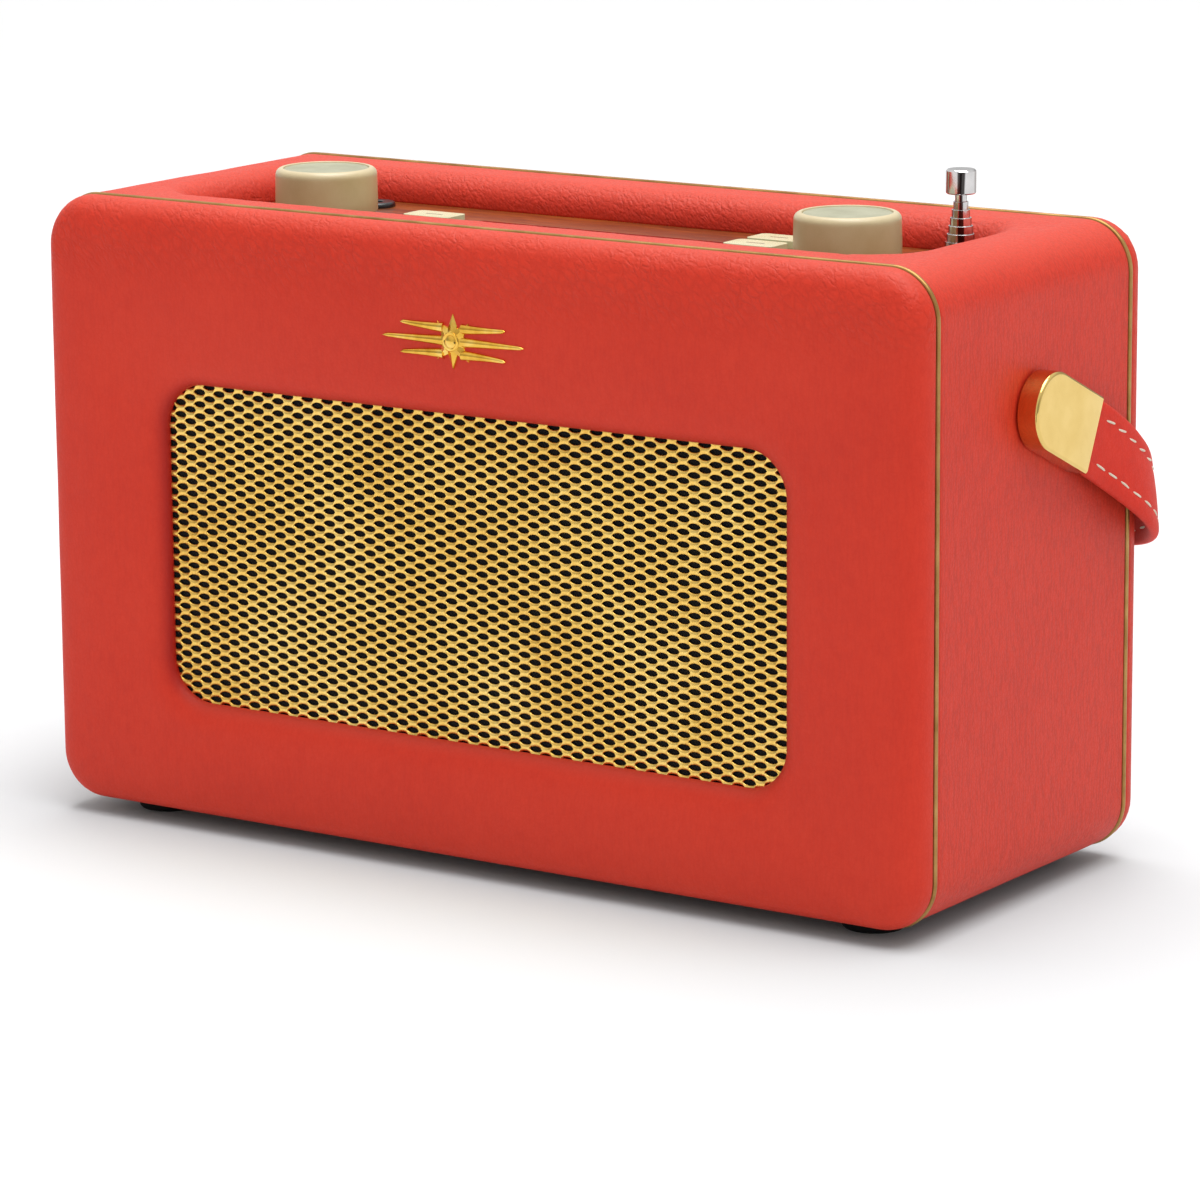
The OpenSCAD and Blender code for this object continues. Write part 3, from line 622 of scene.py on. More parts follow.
def weave(name, pitch, dark, light):
    mat = Material(name)
    turns = 2 * math.pi / pitch
    threads = (mat.xyz[0] * turns).sine() * (mat.xyz[2] * turns).sine()
    fuzz = mat.noise(size=0.4, detail=3.0, rough=0.7)
    return mat.finish(color=mat.tones(threads * 0.3 + fuzz * 0.8, [dark, light], spread=0.3),
                      rough=0.9, spec=0.15, sheen=0.15,
                      normal=mat.bump(threads + fuzz * 0.5, strength=0.6, depth=0.12))


def thread():
    """Twisted cream thread."""
    mat = Material("thread_cream")
    x, y, z = mat.xyz
    twist = ((x * 1.0 + y * 1.0 + z * 1.7) * 15.0).sine()
    fuzz = mat.noise(size=0.2, detail=3.0, rough=0.7)
    color = mat.ramp(fuzz * 0.7 + twist * 0.12, {
        0.2: (222, 198, 170), 0.45: (250, 236, 214), 0.75: (255, 250, 238)})
    return mat.finish(color=color, rough=0.75, spec=0.25, sheen=0.3,
                      normal=mat.bump(twist + fuzz, strength=0.6, depth=0.05))


# ---------------------------------------------------------------- plastic materials
def plastic(name, colors, rough, relief, cell, wear, depth, spec=0.5):
    """relief and depth are the strength and depth of the grain, cell its size."""
    mat = Material(name)
    broad = mat.noise(size=18.0, detail=3.0, rough=0.55)
    fine = mat.noise(size=cell, detail=3.0, rough=0.65)
    cells = mat.voronoi(cell * 1.4, "SMOOTH_F1")
    color = mat.tones(broad * 0.75 + fine * 0.25, colors, spread=0.18)
    color = mat.mix(mat.edge_wear() * wear, color, colors[-1])
    smudge = mat.noise(size=9.0, detail=4.0, rough=0.7, twist=0.6).fade(zero=0.45, one=0.7)
    return mat.finish(color=color, rough=fine * 0.12 + (rough - 0.06) + smudge * 0.06,
                      spec=spec, coat_rough=0.12,
                      normal=mat.bump(cells * 0.6 + fine * 0.5, strength=relief, depth=depth))


def knob_plastic():
    mat = Material("knob_beige")
    broad = mat.noise(size=14.0, detail=3.0)
    fine = mat.noise(size=0.25, detail=3.0, rough=0.7)
    color = mat.tones(broad * 0.8 + fine * 0.2,
                      [(194, 170, 122), (205, 183, 136), (214, 195, 151)], spread=0.18)
    # painted highlight: the top of the knob is paler, as if lit from above
    top = mat.xyz[2].fade(zero=158.2, one=160.2)
    color = mat.mix(top * 0.35, color, (226, 217, 186))
    turning = (mat.xyz[2] * 21.0).sine()
    return mat.finish(color=color, rough=fine * 0.14 + 0.30, spec=0.5, coat=0.15, coat_rough=0.25,
                      normal=mat.bump(fine * 0.6 + turning * 0.05, strength=0.22, depth=0.03))


def knob_disc(name, centre_x):
    """A disc turned on a lathe, with fine rings about the middle of the knob."""
    mat = Material(name)
    x, y, _ = mat.axes(mat.vector("SUBTRACT", mat.place, (centre_x, -1.0, 160.0)))
    radius = mat.math("SQRT", x * x + y * y)
    angle = mat.math("ARCTAN2", y, x)
    rings = mat.noise(size=0.10, detail=3.0, rough=0.6,
                      vec=mat.combine(radius, angle * 0.35, 0.0))
    color = mat.tones(rings * 0.5 + mat.noise(size=7.0, detail=3.0) * 0.5,
                      [(158, 156, 128), (176, 175, 147), (192, 190, 163)], spread=0.18)
    return mat.finish(color=color, metal=0.35, rough=rings * 0.2 + 0.34,
                      normal=mat.bump(rings, strength=0.35, depth=0.02))


def key_plastic():
    mat = Material("key_cream")
    broad = mat.noise(size=8.0, detail=3.0)
    fine = mat.noise(size=0.3, detail=3.0, rough=0.6)
    color = mat.tones(broad * 0.8 + fine * 0.2,
                      [(216, 219, 172), (223, 227, 183), (230, 234, 196)], spread=0.18)
    # a printed dash in the middle of each cap, and painted shade down in the gap
    columns_x, first_row_y, half_pitch = 47.0, 4.5, 5.25
    across = abs(abs(mat.xyz[0]) - columns_x).fade(zero=2.6, one=2.45)
    row = mat.math("PINGPONG", mat.xyz[1] - first_row_y, half_pitch).fade(zero=0.42, one=0.30)
    color = mat.mix(across * row * 0.9, color, (66, 56, 44))
    color = mat.mix(mat.xyz[2].fade(zero=148.6, one=147.9) * 0.4, color, (150, 132, 100))
    return mat.finish(color=color, rough=fine * 0.12 + 0.22, spec=0.5, coat=0.25, coat_rough=0.1,
                      normal=mat.bump(fine, strength=0.15, depth=0.02))


def window():
    mat = Material("window_black")
    smears = mat.noise(size=12.0, detail=4.0, rough=0.65, twist=0.5)
    fine = mat.noise(size=0.5, detail=3.0, rough=0.7)
    color = mat.tones(smears, [(6, 7, 10), (20, 22, 27)])
    # the clear area over the display is a shade lighter than the border
    across = abs(mat.xyz[0]).fade(zero=31.4, one=30.8)
    along = abs(mat.xyz[1] + 2.25).fade(zero=9.0, one=8.4)
    color = mat.mix(across * along * 0.8, color, (34, 42, 44))
    return mat.finish(color=color, rough=smears.fade(zero=0.45, one=0.7) * 0.10 + 0.04,
                      spec=0.6, coat=0.6, coat_rough=0.03,
                      normal=mat.bump(fine, strength=0.05, depth=0.01))


def display():
    mat = Material("lcd")
    turns = 2 * math.pi / 0.6
    dots = (mat.xyz[0] * turns).sine() * (mat.xyz[1] * turns).sine()
    color = mat.tones(dots * 0.25 + mat.noise(size=5.0), [(70, 84, 80), (110, 126, 118)])
    return mat.finish(color=color, rough=0.3, spec=0.4,
                      normal=mat.bump(dots, strength=0.2, depth=0.03))


def circuit_board():
    mat = Material("pcb_green")
    cells = mat.voronoi(3.2, "DISTANCE_TO_EDGE", mat.stretch((1, 1, 0.2)), random=0.35)
    tracks = cells.fade(zero=0.04, one=0.02)
    pads = mat.voronoi(4.2, "F1", random=0.6).fade(zero=0.16, one=0.12)
    base = mat.tones(mat.noise(size=9.0), [(10, 54, 30), (20, 78, 44)])
    color = mat.mix(tracks * 0.6, base, (120, 160, 90))
    color = mat.mix(pads, color, (205, 190, 140))
    return mat.finish(color=color, rough=0.36, spec=0.45,
                      normal=mat.bump(tracks + pads, strength=0.3, depth=0.05))


def battery_wrap():
    """A grey-green sleeve, a paler band and line round one end, bare metal on the ends."""
    mat = Material("battery_wrap")
    along = abs(mat.xyz[0])
    fine = mat.noise(size=1.2, detail=3.0, rough=0.6)
    sleeve = mat.tones(mat.noise(size=16.0), [(70, 96, 82), (92, 120, 104)])
    band = along.fade(zero=33.0, one=33.4) * along.fade(zero=47.4, one=47.0)
    color = mat.mix(band, sleeve, mat.tones(fine, [(176, 182, 172), (198, 204, 194)]))
    stripe = along.fade(zero=31.2, one=31.4) * along.fade(zero=32.3, one=32.1)
    color = mat.mix(stripe * 0.9, color, (220, 216, 206))
    tip = along.fade(zero=48.3, one=48.5)
    color = mat.mix(tip, color, (196, 196, 198))
    return mat.finish(color=color, metal=tip * 0.9, rough=fine * 0.15 + 0.26, coat=0.3,
                      coat_rough=0.15, normal=mat.bump(fine, strength=0.15, depth=0.03))


# ---------------------------------------------------------------- the materials
RED_TONES = [(206, 46, 24), (213, 51, 27), (218, 56, 31)]
STRAP_TONES = [(200, 40, 22), (214, 46, 26), (221, 55, 33)]

MATERIALS = {
    "leather_front": leather("leather_front", RED_TONES, grain=0.60, streaks=0.12, swell=0.6,
                             rough=0.54, spec=0.32, creased=front_bend, painted_recess_shade=front_recess_shade),
    "leather_band": leather("leather_band", RED_TONES, grain=0.75, streaks=0.85, swell=0.8,
                            rough=0.52, spec=0.36, creased=band_bend),
    "leather_strap": leather("leather_strap", STRAP_TONES, grain=0.75, streaks=0.1, swell=0.3,
                             rough=0.56, spec=0.22, cell=0.85),
    "piping": piping_metal(),
    "grille": grille_gold(),
    "cloth": weave("cloth_black", pitch=0.9, dark=(5, 5, 6), light=(22, 21, 22)),
    "padding": weave("padding_foam", pitch=1.6, dark=(196, 182, 140), light=(232, 222, 188)),
    "ornament": polished_gold("ornament_gold", [(206, 150, 44), (232, 184, 78), (246, 212, 122)],
                              rough=0.09, broad_relief=0.45),
    "cap_gold": polished_gold("cap_gold", [(219, 186, 108), (223, 191, 114), (227, 196, 121)],
                              rough=0.07, broad_relief=0.05),
    "chrome": chrome(),
    "steel": steel("steel", light=(200, 200, 204), rough=0.30),
    "basket": steel("basket_steel", light=(92, 94, 98), rough=0.45),
    "magnet": steel("magnet_ferrite", light=(66, 66, 70), rough=0.55),
    "cone": plastic("cone_paper", [(34, 33, 33), (46, 44, 43), (60, 58, 56)],
                    rough=0.85, relief=0.9, cell=1.2, wear=0.1, depth=0.12, spec=0.2),
    "veneer": veneer(),
    "wood_shell": timber("cabinet_wood", dark=(168, 120, 70), light=(214, 172, 118)),
    "board": timber("board_fibre", dark=(132, 94, 58), light=(166, 126, 84), ring=1.2, rough=0.8),
    "window": window(),
    "lcd": display(),
    "pcb": circuit_board(),
    "black_plastic": plastic("plastic_black", [(18, 18, 19), (27, 27, 28), (44, 44, 46)],
                             rough=0.48, relief=0.9, cell=0.45, wear=0.5, depth=0.07),
    "sockets": plastic("socket_plastic", [(14, 14, 15), (22, 22, 24), (52, 52, 54)],
                       rough=0.30, relief=0.3, cell=0.5, wear=0.5, depth=0.03),
    "knob": knob_plastic(),
    "key": key_plastic(),
    "rubber": plastic("rubber_black", [(9, 9, 9), (15, 15, 15), (25, 25, 25)],
                      rough=0.80, relief=0.9, cell=0.8, wear=0.4, depth=0.08, spec=0.3),
    "cells": battery_wrap(),
    "thread": thread(),
}

# ---------------------------------------------------------------- CAD pieces that are kept
AERIAL = [f"aerial_section_{i}" for i in range(1, 7)]
CAD_SLOTS = {
    "wood_shell": ["cabinet_shell"],
    "board": ["front_board", "rear_board", "inner_baffle"],
    "padding": ["front_padding"],
    "cloth": ["grille_cloth"],
    "basket": ["speaker_basket"],
    "magnet": ["speaker_magnet"],
    "cone": ["speaker_cone"],
    "steel": ["speaker_screws", "encoders", "battery_contacts", "door_hinge_pin", "rear_screws",
              "strap_pivots", "strap_nuts", "volume_shaft", "tuning_shaft", "tuning_rotor"],
    "veneer": ["control_panel"],
    "window": ["display_window"],
    "lcd": ["lcd_module"],
    "pcb": ["key_board", "main_board"],
    "black_plastic": ["battery_box", "socket_plate", "battery_door", "aerial_well"],
    "sockets": ["headphone_socket", "rear_sockets"],
    "rubber": ["feet"],
    "cells": ["battery_cells"],
    "chrome": ["aerial_tube"] + AERIAL,
    "key": ["key_left_rear", "key_left_middle", "key_left_front", "key_right_back",
            "key_right_rear", "key_right_middle", "key_right_front"],
}
BEVEL_WIDTH = 0.2           # mm, for pieces that aren't in the table
BEVEL_WIDTHS = {
    "control_panel": 0.25, "display_window": 0.18, "battery_door": 0.35, "socket_plate": 0.35,
    "battery_box": 0.3, "feet": 0.5, "headphone_socket": 0.15, "aerial_tube": 0.12,
    **dict.fromkeys(AERIAL, 0.12), "aerial_section_6": 0.10,
    **dict.fromkeys(CAD_SLOTS["key"], 0.55),
}


def dress_cad_piece(name, slot):
    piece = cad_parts[name]
    mesh = piece.data
    mesh.materials.clear()
    mesh.materials.append(MATERIALS[slot])
    for polygon in mesh.polygons:
        polygon.material_index = 0
    if "custom_normal" in mesh.attributes:
        mesh.attributes.remove(mesh.attributes["custom_normal"])
    mesh.polygons.foreach_set("use_smooth", [True] * len(mesh.polygons))
    if "sharp_edge" in mesh.attributes:
        mesh.attributes.remove(mesh.attributes["sharp_edge"])
    mesh.update()
    add_modifier(piece, "weld", "WELD", merge_threshold=2e-6)
    add_modifier(piece, "bevel", "BEVEL", limit_method="ANGLE", angle_limit=math.radians(34),
                 width=BEVEL_WIDTHS.get(name, BEVEL_WIDTH) * 0.001,
                 segments=3 if slot == "key" else 2, use_clamp_overlap=True,
                 harden_normals=False)
    add_modifier(piece, "wnormal", "WEIGHTED_NORMAL", keep_sharp=True)


# ---------------------------------------------------------------- front leather
FRONT_COUNTS = (60, 108, 14)
FRONT_ROLL, FRONT_ROLL_TOP = 8.0, 12.5      # width of the soft outer roll
FRONT_ROLL_CORNER = 2.5                     # most that the roll takes off the corner radius
OPENING_ROLL = 8.4                          # width of the roll into the grille opening
FOAM_DEPTH = 3.5
LEATHER_SHEET = sheet(thickness=1.0)
FRONT_INSIDE = (0, 0, 80)


def grille_ring(grow, y):
    outline = rounded_rect(-GRILLE_X - grow, GRILLE_X + grow, GRILLE_LOW - grow,
                           GRILLE_HIGH + grow, GRILLE_R + grow, FRONT_COUNTS)
    return at_y(outline, y)


def front_rings():
    """Rings from the piping groove to the mesh, and the stage of each: 0 to 1 over the outer
    roll, 1 to 2 across the flat, 2 to 3 over the edge of the opening."""
    rings, axis_y = curled_edge(FRONT_BACK - 0.05, 1, ((2.6, 1.3), (1.5, 0.75)), FRONT_COUNTS)
    stages = [0.0] * len(rings)
    steps = 13
    for j in range(steps + 1):
        cosine, sine = quarter(j, steps, 0.86)
        across = 1 - cosine
        radius = max(CORNER_R - FRONT_ROLL_CORNER, CORNER_R - FRONT_ROLL * across)
        outline = case_outline(FRONT_ROLL * across, radius, FRONT_COUNTS,
                               top_inset=FRONT_ROLL_TOP * across)
        rings.append(at_y(outline, axis_y - (axis_y - FRONT_Y) * sine))
        stages.append(smooth01(j / steps))
    # half width, low, high and corner radius at the outer and inner edge of the flat
    outer = np.array([HALF_X - FRONT_ROLL, BASE_Z + FRONT_ROLL, TOP_Z - FRONT_ROLL_TOP,
                      CORNER_R - FRONT_ROLL_CORNER])
    inner = np.array([GRILLE_X + OPENING_ROLL, GRILLE_LOW - OPENING_ROLL,
                      GRILLE_HIGH + OPENING_ROLL, GRILLE_R + OPENING_ROLL])
    steps = 22
    for j in range(1, steps + 1):
        x, low, high, radius = outer + (inner - outer) * (j / steps)
        rings.append(at_y(rounded_rect(-x, x, low, high, radius, FRONT_COUNTS), FRONT_Y))
        stages.append(1.0 + j / steps)
    steps = 14
    depth = MESH_Y + 0.1 - FRONT_Y
    for j in range(1, steps + 1):
        angle = math.pi / 2 * j / steps
        rings.append(grille_ring(OPENING_ROLL * (1 - math.sin(angle)),
                                 FRONT_Y + depth * (1 - math.cos(angle))))
        stages.append(2.0 + j / steps)
    rings.append(grille_ring(0.0, MESH_Y + 0.35))
    stages.append(3.2)
    return np.array(rings), np.array(stages)


def simulate_pad(rings, stages):
    """Cloth with air pressure behind it, on every second ring and every fourth point. Returns
    those rings and points, and how far each point swells forward, in mm."""
    rows = [k for k in range(len(rings)) if 0.45 <= stages[k] <= 2.55][::2]
    columns = list(range(0, len(rings[0]), 4))
    count = len(columns)
    points = np.concatenate([rings[k][columns] for k in rows])
    mesh = raw_mesh("pad_sim", points, grid_faces(len(rows), count))
    face_away(mesh, FRONT_INSIDE)
    pad = bpy.data.objects.new("pad_sim", mesh)
    scene = bpy.context.scene
    scene.collection.objects.link(pad)
    pins = pad.vertex_groups.new(name="pin")
    last = (len(rows) - 1) * count
    pins.add(list(range(count)) + list(range(last, last + count)), 1.0, "REPLACE")
    cloth = pad.modifiers.new("cloth", "CLOTH")
    settings = dict(
        quality=6, mass=0.25, tension_stiffness=30, compression_stiffness=30,
        shear_stiffness=12, bending_stiffness=3.0, air_damping=3.0, vertex_group_mass="pin",
        use_pressure=True, uniform_pressure_force=4.0)
    for key, value in settings.items():
        setattr(cloth.settings, key, value)
    cloth.settings.effector_weights.gravity = 0.0
    frames = 20
    cloth.point_cache.frame_start, cloth.point_cache.frame_end = 1, frames
    for number in range(1, frames + 1):
        scene.frame_set(number)
        bpy.context.view_layer.update()
    result = pad.evaluated_get(bpy.context.evaluated_depsgraph_get())
    swollen = np.array([vertex.co for vertex in result.data.vertices], float) * 1000.0
    bpy.data.objects.remove(pad)
    scene.frame_set(1)
    return rows, columns, (points[:, 1] - swollen[:, 1]).reshape(len(rows), count)


def front_swell(rings, stages):
    """How far the padding pushes each point of the front forward, in mm."""
    columns_all = rings.shape[1]
    swell = np.zeros(rings.shape[:2])
    for k, stage in enumerate(stages):
        if 1.0 <= stage <= 2.0:
            swell[k] = 0.30 * math.sin(math.pi * (stage - 1.0)) ** 0.8
    rows, columns, pushed = simulate_pad(rings, stages)
    # a simulation that blew up or didn't move leaves the plain swell
    if np.isfinite(pushed).all() and abs(pushed).max() > 1e-6:
        pushed = pushed / max(1e-6, np.percentile(abs(pushed), 99)) * 0.75
        pushed = np.clip(pushed, -0.2, 0.9)
        known = np.array(columns + [columns_all])
        full = np.array([np.interp(np.arange(columns_all), known, np.append(row, row[0]))
                         for row in pushed])
        between = np.arange(rows[0], rows[-1] + 1)
        for i in range(columns_all):
            swell[between, i] = np.interp(between, rows, full[:, i])
    return swell


def build_front_core(points, stages, normals):
    """The foam under the leather, and the board the leather is stretched over."""
    count = points.shape[1]
    back = FRONT_Y + FOAM_DEPTH
    rows = []
    for k, stage in enumerate(stages):
        under = points[k] - normals[k] * 1.25
        if 0.3 < stage < 2.9 and under[:, 1].max() < back - 0.15:
            rows.append(under)
    loops = [at_y(rows[0][:, ::2], back)] + rows + [at_y(rows[-1][:, ::2], back)]
    add_solid("front_foam", np.concatenate(loops), grid_faces(len(loops), count, wrap=True),
              MATERIALS["padding"], "case", "padding", "front_padding")

    def outer(near_y, inset, y=None):
        """The ring of the outer roll nearest to near_y, moved in and set flat at y."""
        k = min((k for k in range(6, len(points)) if stages[k] < 1.0),
                key=lambda k: abs(points[k][0, 1] - near_y))
        return at_y((points[k] - normals[k] * inset)[:, ::2], near_y if y is None else y)
    board_back = FRONT_BACK - 0.02
    loops = [
        outer(back + 0.02, 1.5), grille_ring(1.9, back + 0.02), grille_ring(1.9, MESH_Y),
        grille_ring(4.8, MESH_Y), grille_ring(4.8, board_back),
        outer(FRONT_BACK - 0.9, 2.6, board_back), outer(FRONT_BACK - 1.6, 1.4),
        outer(FRONT_BACK - 3.0, 1.4)]
    add_solid("front_panel_board", np.concatenate(loops),
              grid_faces(len(loops), count, wrap=True),
              MATERIALS["board"], "case", "board", "front_board")


def build_front():
    rings, stages = front_rings()
    shape = rings.shape
    rings[:, :, 1] -= front_swell(rings, stages)
    points = rings.reshape(-1, 3)
    # hand-laid leather: a little ripple, and fine gathers on the top roll and its corners
    stage = np.repeat(stages, shape[1])
    free = smooth01((stage - 0.15) / 0.5) * smooth01((2.75 - stage) / 0.5)
    ripple = fractal(points, size=26.0, seed=3.1, octaves=2) * 0.16
    top = smooth01((points[:, 2] - (TOP_Z - 22)) / 16.0) * smooth01((1.9 - stage) / 0.7)
    gathers = fractal(points * np.array([1.0, 1.0, 0.45]), size=3.4, seed=9.2, octaves=3) * 0.085
    corner = smooth01((abs(points[:, 0]) - (HALF_X - 26)) / 18.0) * top
    points[:, 1] -= free * (ripple + gathers * (0.25 + top + corner))
    points[:, 2] += free * top * gathers * 0.9
    mesh = raw_mesh("front_leather_skin", points, grid_faces(shape[0], shape[1]))
    face_away(mesh, FRONT_INSIDE)
    build_front_core(points.reshape(shape), stages, vertex_vectors(mesh, "normal").reshape(shape))
    finish_mesh("front_leather_skin", mesh, MATERIALS["leather_front"], "case", "leather_front",
                "front_leather", [LEATHER_SHEET])


# ---------------------------------------------------------------- band leather
BAND_COUNTS = (22, 130, 32)


def well_rings():
    """The lip, from the panel up to the flat top, out to the edges of the band's flat top.
    Returns the rings and the outermost of them."""
    def loop(grow, z):
        outline = rounded_rect(-WELL_X - grow, WELL_X + grow, WELL_FRONT - grow,
                               WELL_BACK + grow, WELL_R + grow, BAND_COUNTS)
        return np.column_stack([outline, np.full(len(outline), z)])
    rows = [loop(0, PANEL_Z - 0.1), loop(0, PANEL_Z + 0.5)]
    steps = 12
    for j in range(steps + 1):
        angle = math.pi / 2 * j / steps
        rows.append(loop(LIP_R * (1 - math.cos(angle)), TOP_Z - LIP_R + LIP_R * math.sin(angle)))
    crest = rows[-1]
    upright, level, corner = BAND_COUNTS
    half = corner // 2
    edge_x, inner_x = HALF_X - CORNER_R, WELL_X - WELL_R
    front, back = BAND_FRONT + CURL, BAND_BACK - CURL
    inner_front, inner_back = WELL_FRONT + WELL_R, WELL_BACK - WELL_R
    # x, y of the start of each stretch, and its number of points
    stretches = [
        (edge_x, inner_front, upright), (edge_x, inner_back, half), (edge_x, back, half),
        (inner_x, back, level), (-inner_x, back, half), (-edge_x, back, half),
        (-edge_x, inner_back, upright), (-edge_x, inner_front, half), (-edge_x, front, half),
        (-inner_x, front, level), (inner_x, front, half), (edge_x, front, half)]
    outer = []
    for start, end in zip(stretches, stretches[1:] + stretches[:1]):
        outer += line(start[:2], end[:2], start[2])
    outer = np.column_stack([np.array(outer), np.full(len(outer), TOP_Z)])
    steps = 5
    for j in range(1, steps + 1):
        rows.append(crest * (1 - j / steps) + outer * (j / steps))
    return rows, outer


def band_path():
    """x, z and outward direction from the top right, down, under and up to the top left."""
    edge_x = HALF_X - CORNER_R
    high, low = TOP_Z - CORNER_R, BASE_Z + CORNER_R
    path = []

    def corner(x, z, start, count=12):
        for i in range(count):
            angle = math.radians(start - 90.0 * i / 12)
            cosine, sine = math.cos(angle), math.sin(angle)
            path.append((x + CORNER_R * cosine, z + CORNER_R * sine, cosine, sine))

    def side(start, end, outward, count):
        path.extend(point + outward for point in line(start, end, count))
    corner(edge_x, high, 90)
    side((HALF_X, high), (HALF_X, low), (1, 0), 44)
    corner(edge_x, low, 0)
    side((edge_x, BASE_Z), (-edge_x, BASE_Z), (0, -1), 60)
    corner(-edge_x, low, 270)
    side((-HALF_X, low), (-HALF_X, high), (-1, 0), 44)
    corner(-edge_x, high, 180, count=13)
    return path


def band_surface():
    surface = Surface()
    rows, outer = well_rings()
    surface.add_grid(rows)
    front, back = BAND_FRONT + CURL, BAND_BACK - CURL
    edge_x = HALF_X - CORNER_R
    # the sides take over the spacing of the flat top, so that they can be welded to it
    side_ys = sorted({round(y, 6) for x, y, _ in outer if abs(x - edge_x) < 1e-6}
                     | {round(front, 6), round(back, 6)})
    top_xs = sorted({round(x, 6) for x, y, _ in outer if abs(y - front) < 1e-6}
                    | {-edge_x, edge_x})
    path = band_path()
    surface.add_grid([[(x, y, z) for y in side_ys] for x, z, _, _ in path], closed=False)
    ring = [(x, TOP_Z, 0.0, 1.0) for x in top_xs[:-1]] + path[:-1]
    # the curled edges: how far in, and how far out toward the piping
    angles = [math.radians(degrees) for degrees in (0, 22, 45, 68, 90)]
    profile = [(CURL * (1 - math.cos(angle)), CURL * math.sin(angle)) for angle in angles]
    profile += [(1.5, CURL), (2.6, CURL)]
    for side, axis_y in ((-1, front), (1, back)):
        surface.add_grid([[(x - out_x * inset, axis_y + side * out, z - out_z * inset)
                           for x, z, out_x, out_z in ring] for inset, out in profile])
    return surface


def build_band():
    surface = band_surface()
    mesh = raw_mesh("case_leather_skin", *weld(surface.vertices, surface.faces))
    face_away(mesh, (0, 0, 70))
    points, normals = vertex_vectors(mesh, "co") * 1000.0, vertex_vectors(mesh, "normal")
    x, y, z = points.T
    # nothing moves where the leather meets the piping or the panel
    between = (smooth01((y - (BAND_FRONT + 1.2)) / 3.0)
               * smooth01(((BAND_BACK - 1.2) - y) / 3.0))
    side = (abs(x) > WELL_X + 8) | (z < PANEL_Z - 2)
    free = np.where(side, between, between * smooth01((z - (PANEL_Z + 0.3)) / 2.0))
    lip = ((z > PANEL_Z) & (abs(x) < WELL_X + 8.5)).astype(float)
    ripple = fractal(points, size=24.0, seed=5.7, octaves=2) * 0.12
    # gathers run across the lip, so they are short along the edge and long over the roll
    at_end = abs(x) > WELL_X - 6
    stretched = np.column_stack([np.where(at_end, y, x), np.where(at_end, x, y) * 0.35, z * 0.35])
    gathers = fractal(stretched, size=4.2, seed=11.3, octaves=3) * 0.16
    pucker = smooth01((abs(x) - (WELL_X - 16)) / 10.0) * smooth01((abs(y) - 14) / 10.0) * lip
    move = free * (ripple * (1 - 0.4 * lip) + gathers * lip * (0.45 + 0.9 * pucker))
    set_points(mesh, points + normals * move[:, None])
    finish_mesh("case_leather_skin", mesh, MATERIALS["leather_band"], "case", "leather_band",
                "case_leather", [LEATHER_SHEET])


# ---------------------------------------------------------------- rear leather
REAR_COUNTS = (34, 58, 10)
OPENING_EDGE_R = 1.1


def square_opening(left, right, low, high, counts):
    return lambda grow: rounded_rect(left - grow, right + grow, low - grow, high + grow,
                                     3 + grow, counts)


def round_opening(x, z):
    angles = np.arange(40) / 40.0 * 2 * math.pi
    return lambda grow: np.column_stack([x + (3.65 + grow) * np.cos(angles),
                                         z + (3.65 + grow) * np.sin(angles)])


# outline as a function of how far it grows, and depth of the turned-in edge
REAR_OPENINGS = [
    (square_opening(-56, 56, 14, 77, (18, 32, 6)), 2.2),
    (square_opening(76, 106, 34, 66, (10, 10, 6)), 2.2),
    (round_opening(-110.3, 19.7), 1.2), (round_opening(110.3, 19.7), 1.2),
    (round_opening(-110.3, 139.0), 1.2), (round_opening(110.3, 139.0), 1.2),
]


def is_inside(outline, points):
    x, y = points[:, 0], points[:, 1]
    inside = np.zeros(len(points), bool)
    for i in range(len(outline)):
        xi, yi = outline[i]
        xj, yj = outline[i - 1]
        crosses = (yi > y) != (yj > y)
        inside ^= crosses & (x < (xj - xi) * (y - yi) / (yj - yi + 1e-30) + xi)
    return inside


def is_near(outline, points, distance):
    near = np.zeros(len(points), bool)
    for start, end in zip(outline, np.roll(outline, -1, 0)):
        edge = end - start
        along = np.clip(((points - start) @ edge) / max(1e-12, edge @ edge), 0, 1)
        near |= np.linalg.norm(points - (start + along[:, None] * edge), axis=1) < distance
    return near


def fill_rear(outer, holes):
    """Triangles of the flat between the outer roll and the openings."""
    grid_x, grid_z = np.meshgrid(np.arange(-118, 118.1, 4.0), np.arange(11, 149.1, 4.0))
    grid = np.column_stack([grid_x.ravel(), grid_z.ravel()])
    keep = is_inside(outer, grid) & ~is_near(outer, grid, 2.0)
    for hole in holes:
        keep &= ~is_inside(hole, grid) & ~is_near(hole, grid, 1.9)
    points, edges = [], []
    for outline in [outer] + holes:
        start, count = len(points), len(outline)
        points.extend(Vector(point) for point in outline)
        edges.extend((start + i, start + (i + 1) % count) for i in range(count))
    points.extend(Vector(point) for point in grid[keep])
    result = geometry.delaunay_2d_cdt(points, edges, [], 0, 1e-5)
    filled = np.array([[point[0], point[1]] for point in result[0]])
    triangles = [face for face in result[2] if len(face) == 3]
    centres = np.array([filled[list(face)].mean(0) for face in triangles])
    wanted = is_inside(outer, centres)
    for hole in holes:
        wanted &= ~is_inside(hole, centres)
    return filled, [face for face, good in zip(triangles, wanted) if good]


